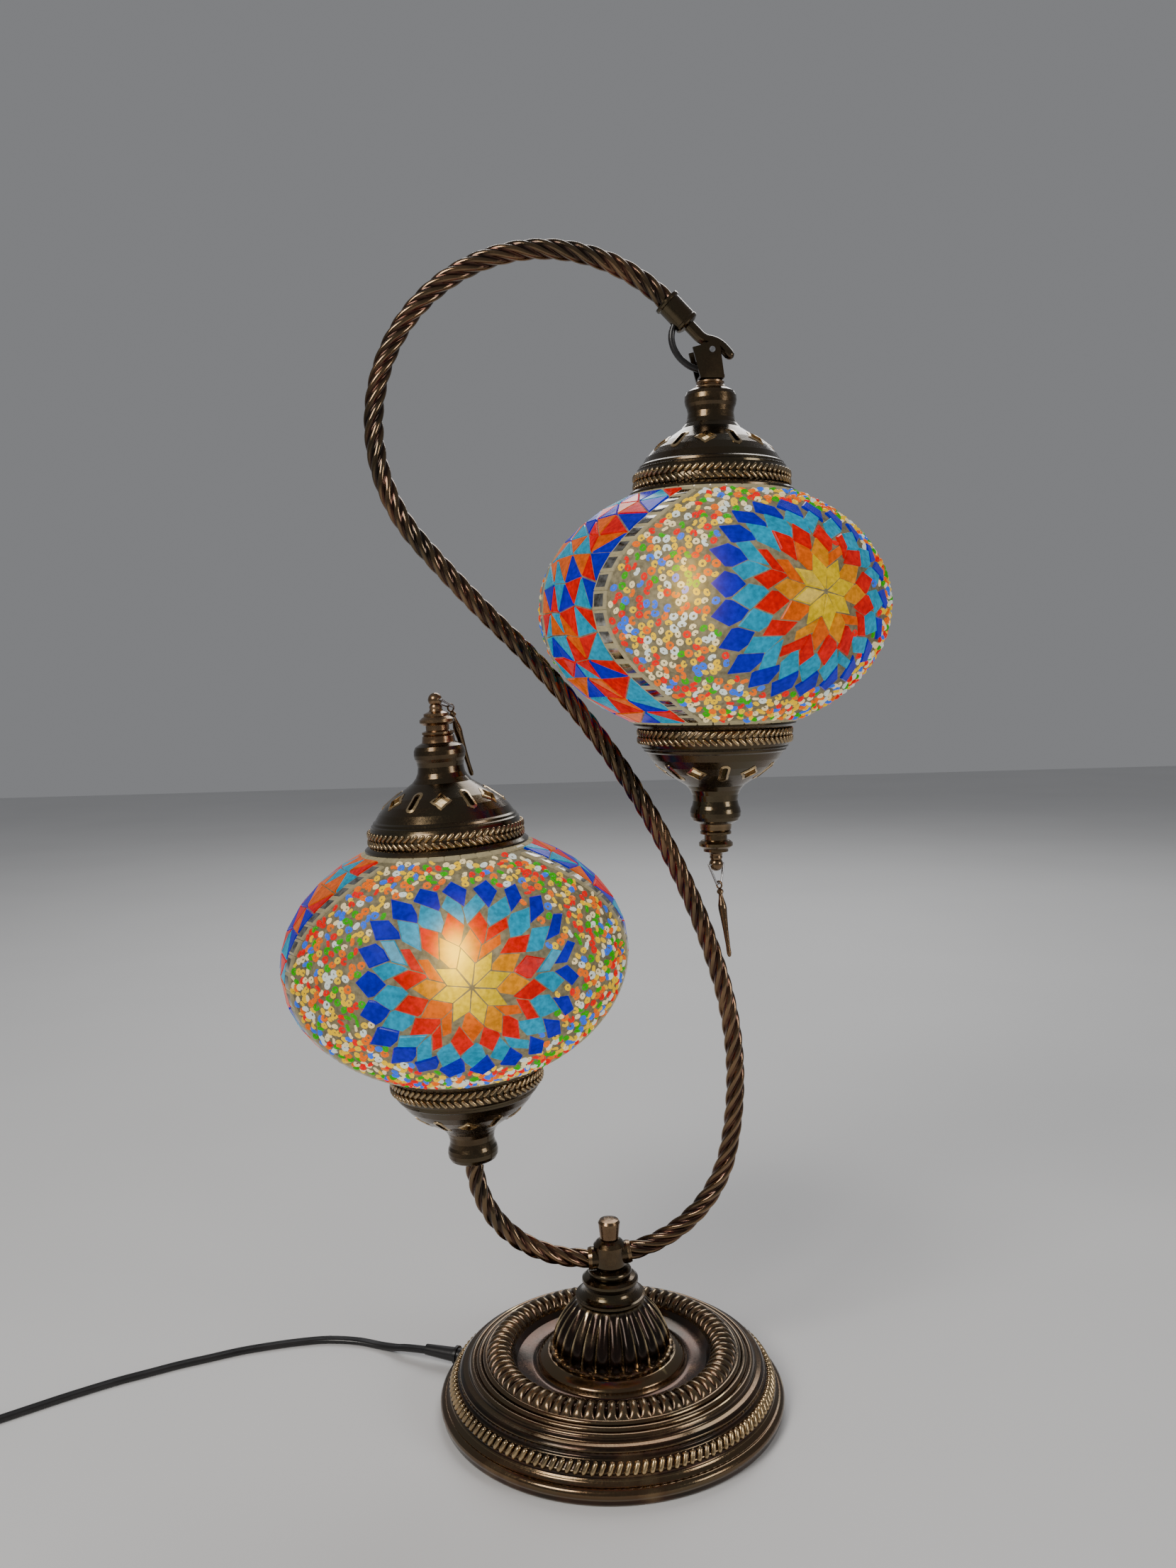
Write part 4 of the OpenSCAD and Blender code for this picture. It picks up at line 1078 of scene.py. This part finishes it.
def build_lamplight():
    """The cap's brassy inside, lit by the bulb."""
    made, t, skin = material("lamplit_lining")
    place = t.add("ShaderNodeTexCoord").outputs["Object"]
    streak = t.add("ShaderNodeTexNoise", {"Vector": place, "Scale": 700.0, "Detail": 3.0}).outputs[0]
    t.feed(t.ramp(streak, [(0.35, (0.62, 0.36, 0.12)), (0.62, (1.0, 0.82, 0.50))]), skin["Emission Color"])
    skin["Base Color"].default_value = (0.6, 0.45, 0.25, 1)
    skin["Emission Strength"].default_value = 0.9
    skin["Roughness"].default_value = 0.4
    return made


lamplight = build_lamplight()
for name, place, body, turn in (("upper_cap", UPPER, "pendant", 15),
                                ("upper_cup", UPPER @ FLIP, "pendant", 0),
                                ("lower_cap", LOWER, "lamp", 30),
                                ("lower_cup", LOWER @ FLIP, "lamp", 30)):
    cap_braid(name, place, body)
    cap_openings(name, place, body, turn)


# ---------------------------------------------------------------- the neck

def pipe_line(name, stations, mirror):
    curve = bpy.data.curves.new(name, "CURVE")
    curve.dimensions = "3D"
    spline = curve.splines.new("POLY")
    spline.points.add(len(stations) - 1)
    for point, (x, z, _) in zip(spline.points, stations):
        point.co = (-x if mirror else x, 0, z, 1)
    return curve


def rope(name, stations, mirror, stands_for):
    grown(name, ROPE_PIPE, pipe_line(name, stations, mirror),
          {"Radius": 5.35 * MM, "Groove": 1.6 * MM, "Strands": 5.0, "Pitch": 52 * MM, "Step": 1.4 * MM,
           "Material": neck_bronze}, "lamp", None, (stands_for,))


rope("long_arm_rope",
     [straight_on(LONG_ROOT, -2 * MM)] + long_arm + [straight_on(long_arm[-1], 1.5 * MM)],
     False, "neck_long_arm")
rope("short_arm_rope",
     [straight_on(SHORT_ROOT, -2 * MM)] + short_arm + [straight_on(short_arm[-1], 4 * MM)],
     True, "neck_short_arm")


def make_flex():
    """The short flex from the ferrule into the hanging globe's nipple."""
    curve = bpy.data.curves.new("pendant_flex_line", "CURVE")
    curve.dimensions = "3D"
    spline = curve.splines.new("BEZIER")
    route = ((45.2, 604.8), (43.8, 600.4), (44, 595), (46.4, 589.6), (50.6, 585), (55.6, 582),
             (60.4, 580.8), (63.4, 580), (64.5, 579))
    spline.bezier_points.add(len(route) - 1)
    for point, (x, z) in zip(spline.bezier_points, route):
        point.co = (x * MM, 0, z * MM)
        point.handle_left_type = point.handle_right_type = "AUTO"
    curve.bevel_depth = 1.8 * MM
    curve.bevel_resolution = 3
    curve.resolution_u = 6
    curve.use_fill_caps = True
    holder = bpy.data.objects.new("flex_source", curve)
    bpy.context.scene.collection.objects.link(holder)
    bpy.context.view_layer.update()
    mesh = bpy.data.meshes.new_from_object(holder.evaluated_get(bpy.context.evaluated_depsgraph_get()))
    bpy.data.objects.remove(holder)
    mesh.materials.clear()
    mesh.materials.append(rubber)
    mesh.shade_smooth()
    flex = bpy.data.objects.new("pendant_flex_tube", mesh)
    bpy.context.scene.collection.objects.link(flex)
    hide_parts("pendant_flex")
    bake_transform(flex)


make_flex()


# ---------------------------------------------------------------- the base

def arc(cx, cz, r, start, end, n):
    return [(cx + r * math.cos(math.radians(start + (end - start) * i / n)),
             cz + r * math.sin(math.radians(start + (end - start) * i / n))) for i in range(n + 1)]


def make_base():
    """Spun cover with turned rings, slanted gadroons round its rim and radial ribs on top."""
    outline = ([(91, 0), (97.2, 0), (98, 1.4)]
               + arc(95.9, 5.7, 3.1, -40, 100, 12)
               + [(94.2, 9.6), (93.2, 10.4)]
               + arc(94.6, 12.9, 2.5, -120, -215, 6)
               + [(91.4, 15.2), (89.3, 17.9), (88.9, 19.4)]
               + arc(90.3, 21.4, 3.0, -150, -205, 4)
               + [(86.9, 23.4), (85.8, 24.4), (82.9, 24.4), (82.2, 25.2), (82.0, 26.4)]
               + arc(79.9, 26.1, 1.8, 10, 170, 7)
               + arc(76.0, 27.2, 1.9, 10, 170, 7)
               + arc(72.4, 28.6, 1.9, 10, 150, 6)
               + arc(64.3, 27.4, 5.8, 20, 150, 10)
               + [(57, 29), (54.5, 25.5), (46, 24.5), (43.0, 24.8), (42.2, 27.6), (41.4, 28.6), (37, 31.0),
                  (36, 31), (5.4, 31), (5.4, 27.5), (34, 27.5), (45, 21), (58, 21.4), (66, 26), (79, 21.4),
                  (85, 17.0), (88.6, 12), (90.5, 9)])
    outline = rounded(outline, 0.35)
    points, faces = lathe([(r * MM, z * MM) for r, z in outline], 160)
    # Faces of the rim, the turned rings and two raised steps get the lighter bronze: partly polish, partly
    # a painted highlight
    polished_with_painted_highlight = [any(low < r < high and z > floor for low, high, floor in
                    ((92.6, 99.1, 2.5), (70.4, 81.8, 26.6), (35, 43.4, 24.6), (82.6, 87, 24.2)))
                for r, z in outline] * 160
    piece("base_shell", points, faces, [bronze, rubbed], "lamp", ("base_cover",), 40,
          [1 if p else 0 for p in polished_with_painted_highlight])
    leaf_ring("base_rim_gadroons", "lamp", None, ridge_bronze, "antique bronze", Count=132,
              Radius=90.9 * MM, Height=15.9 * MM, Slant=-0.35, Lean=0.45,
              Size=(2.2 * MM, 1.65 * MM, 3.9 * MM))

    ring_r = 64.3
    rib_count = 72

    def ribbed(r, z, a):
        along = abs(r - ring_r * MM) / (8.2 * MM)
        if z < 28.3 * MM or along >= 1:
            return r, z
        groove = 1 - abs(math.cos(rib_count / 2 * a)) ** 0.6
        return r, z - 2.9 * MM * (1 - along ** 4) * groove

    crown = [(ring_r + off, 28.2 + 7.3 * math.sqrt(1 - (off / 7.9) ** 2))
             for off in (7.8, 7.4, 6.6, 5.4, 3.8, 2.0, 0, -2.0, -3.8, -5.4, -6.6, -7.4, -7.8)]
    ribs = [(72.0, 26.8)] + crown + [(56.6, 26.8)]
    points, faces = lathe([(r * MM, z * MM) for r, z in ribs], rib_count * 10, ribbed)
    piece("base_ring_gadroons", points, faces, [ridge_bronze], "lamp", (), 60)


make_base()


def make_boss():
    """Bell with twenty-six hollow flutes that meet in thin ribs, and a wavy lip."""
    bell = [(33.9, 33.2), (33.9, 36), (33.3, 39), (32.2, 42.5), (30.4, 46.5), (28.0, 50.5), (25.2, 54.2),
            (22.2, 57.5), (19.4, 60.0), (18.4, 60.6)]

    def fluted(r, z, a):
        if r < 20 * MM or z < 33.0 * MM:
            return r, z
        depth = 2.7 * MM * min(1, (60.5 * MM - z) / (10 * MM)) ** 0.5
        return r - depth * abs(math.sin(13 * a)) ** 0.65, z

    outline = [(5.4, 31.2), (33, 31.2)] + bell + [(5.4, 60.9)]
    points, faces = lathe([(r * MM, z * MM) for r, z in outline], 26 * 14, fluted)
    piece("boss_bell", points, faces, [bell_bronze], "lamp", ("fluted_boss",), 50)

    def wavy(r, z, a):
        wave = math.cos(26 * a)
        lift = (0.35 * MM * wave if z > 31.5 * MM else 0)
        return r + 0.45 * MM * wave * (r > 33 * MM), z + lift

    lip = [(32.0, 31.1), (35.2, 31.1), (35.5, 31.9), (35.2, 32.7), (34.2, 33.1), (32.0, 33.1)]
    points, faces = lathe([(r * MM, z * MM) for r, z in lip], 26 * 10, wavy)
    piece("boss_scalloped_lip", points, faces, [brass], "lamp", (), 40)


make_boss()


# ---------------------------------------------------------------- finishes of the other parts

FINISHES = {
    cap_bronze: ("boss_collar", "column", "hook_ferrule", "hook", "hook_eye", "stirrup", "upper_cap",
                 "upper_cup", "lower_cup", "lower_cap"),
    brass: ("top_knob", "tube_rings", "upper_nipple", "upper_collar", "upper_finial", "upper_drop",
            "lower_nipple", "lower_finial", "lower_drop", "plug_pins"),
    steel: ("tie_rod", "rod_nut", "bottom_plate", "plate_screws", "swing_pin", "upper_lock_nut",
            "upper_cross_bar", "lower_lock_nut", "lower_cross_bar", "upper_loop", "lower_loop",
            "upper_bulb_base", "lower_bulb_base"),
    iron: ("base_weight",),
    felt: ("felt_pad",),
    rubber: ("cord_grommet", "strain_relief"),
    bulb_glass: ("upper_bulb", "lower_bulb"),
    bakelite: ("upper_holder", "lower_holder", "switch_base", "switch_cover", "plug_body"),
    rocker_white: ("switch_rocker",),
}
for made, names in FINISHES.items():
    for name in names:
        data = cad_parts[name].data
        data.materials.clear()
        data.materials.append(made)


# ---------------------------------------------------------------- the floor and the room

def make_stage():
    made, t, skin = material("pale_floor")
    place = t.add("ShaderNodeTexCoord").outputs["Object"]
    cloud = t.add("ShaderNodeTexNoise", {"Vector": place, "Scale": 3.0, "Detail": 2.0}).outputs[0]
    t.feed(t.ramp(cloud, [(0.3, grey(0.70)), (0.7, grey(0.73))]), skin["Base Color"])
    skin["Roughness"].default_value = 0.7
    mesh = bpy.data.meshes.new("floor")
    mesh.from_pydata([(-4, -4, 0), (4, -4, 0), (4, 4, 0), (-4, 4, 0)], [], [(0, 1, 2, 3)])
    mesh.materials.append(made)
    floor = bpy.data.objects.new("floor", mesh)
    bpy.context.scene.collection.objects.link(floor)
    world = bpy.data.worlds.new("room")
    world.use_nodes = True
    world.node_tree.nodes["Background"].inputs["Color"].default_value = (0.72, 0.73, 0.76, 1)
    world.node_tree.nodes["Background"].inputs["Strength"].default_value = 0.3
    bpy.context.scene.world = world


make_stage()
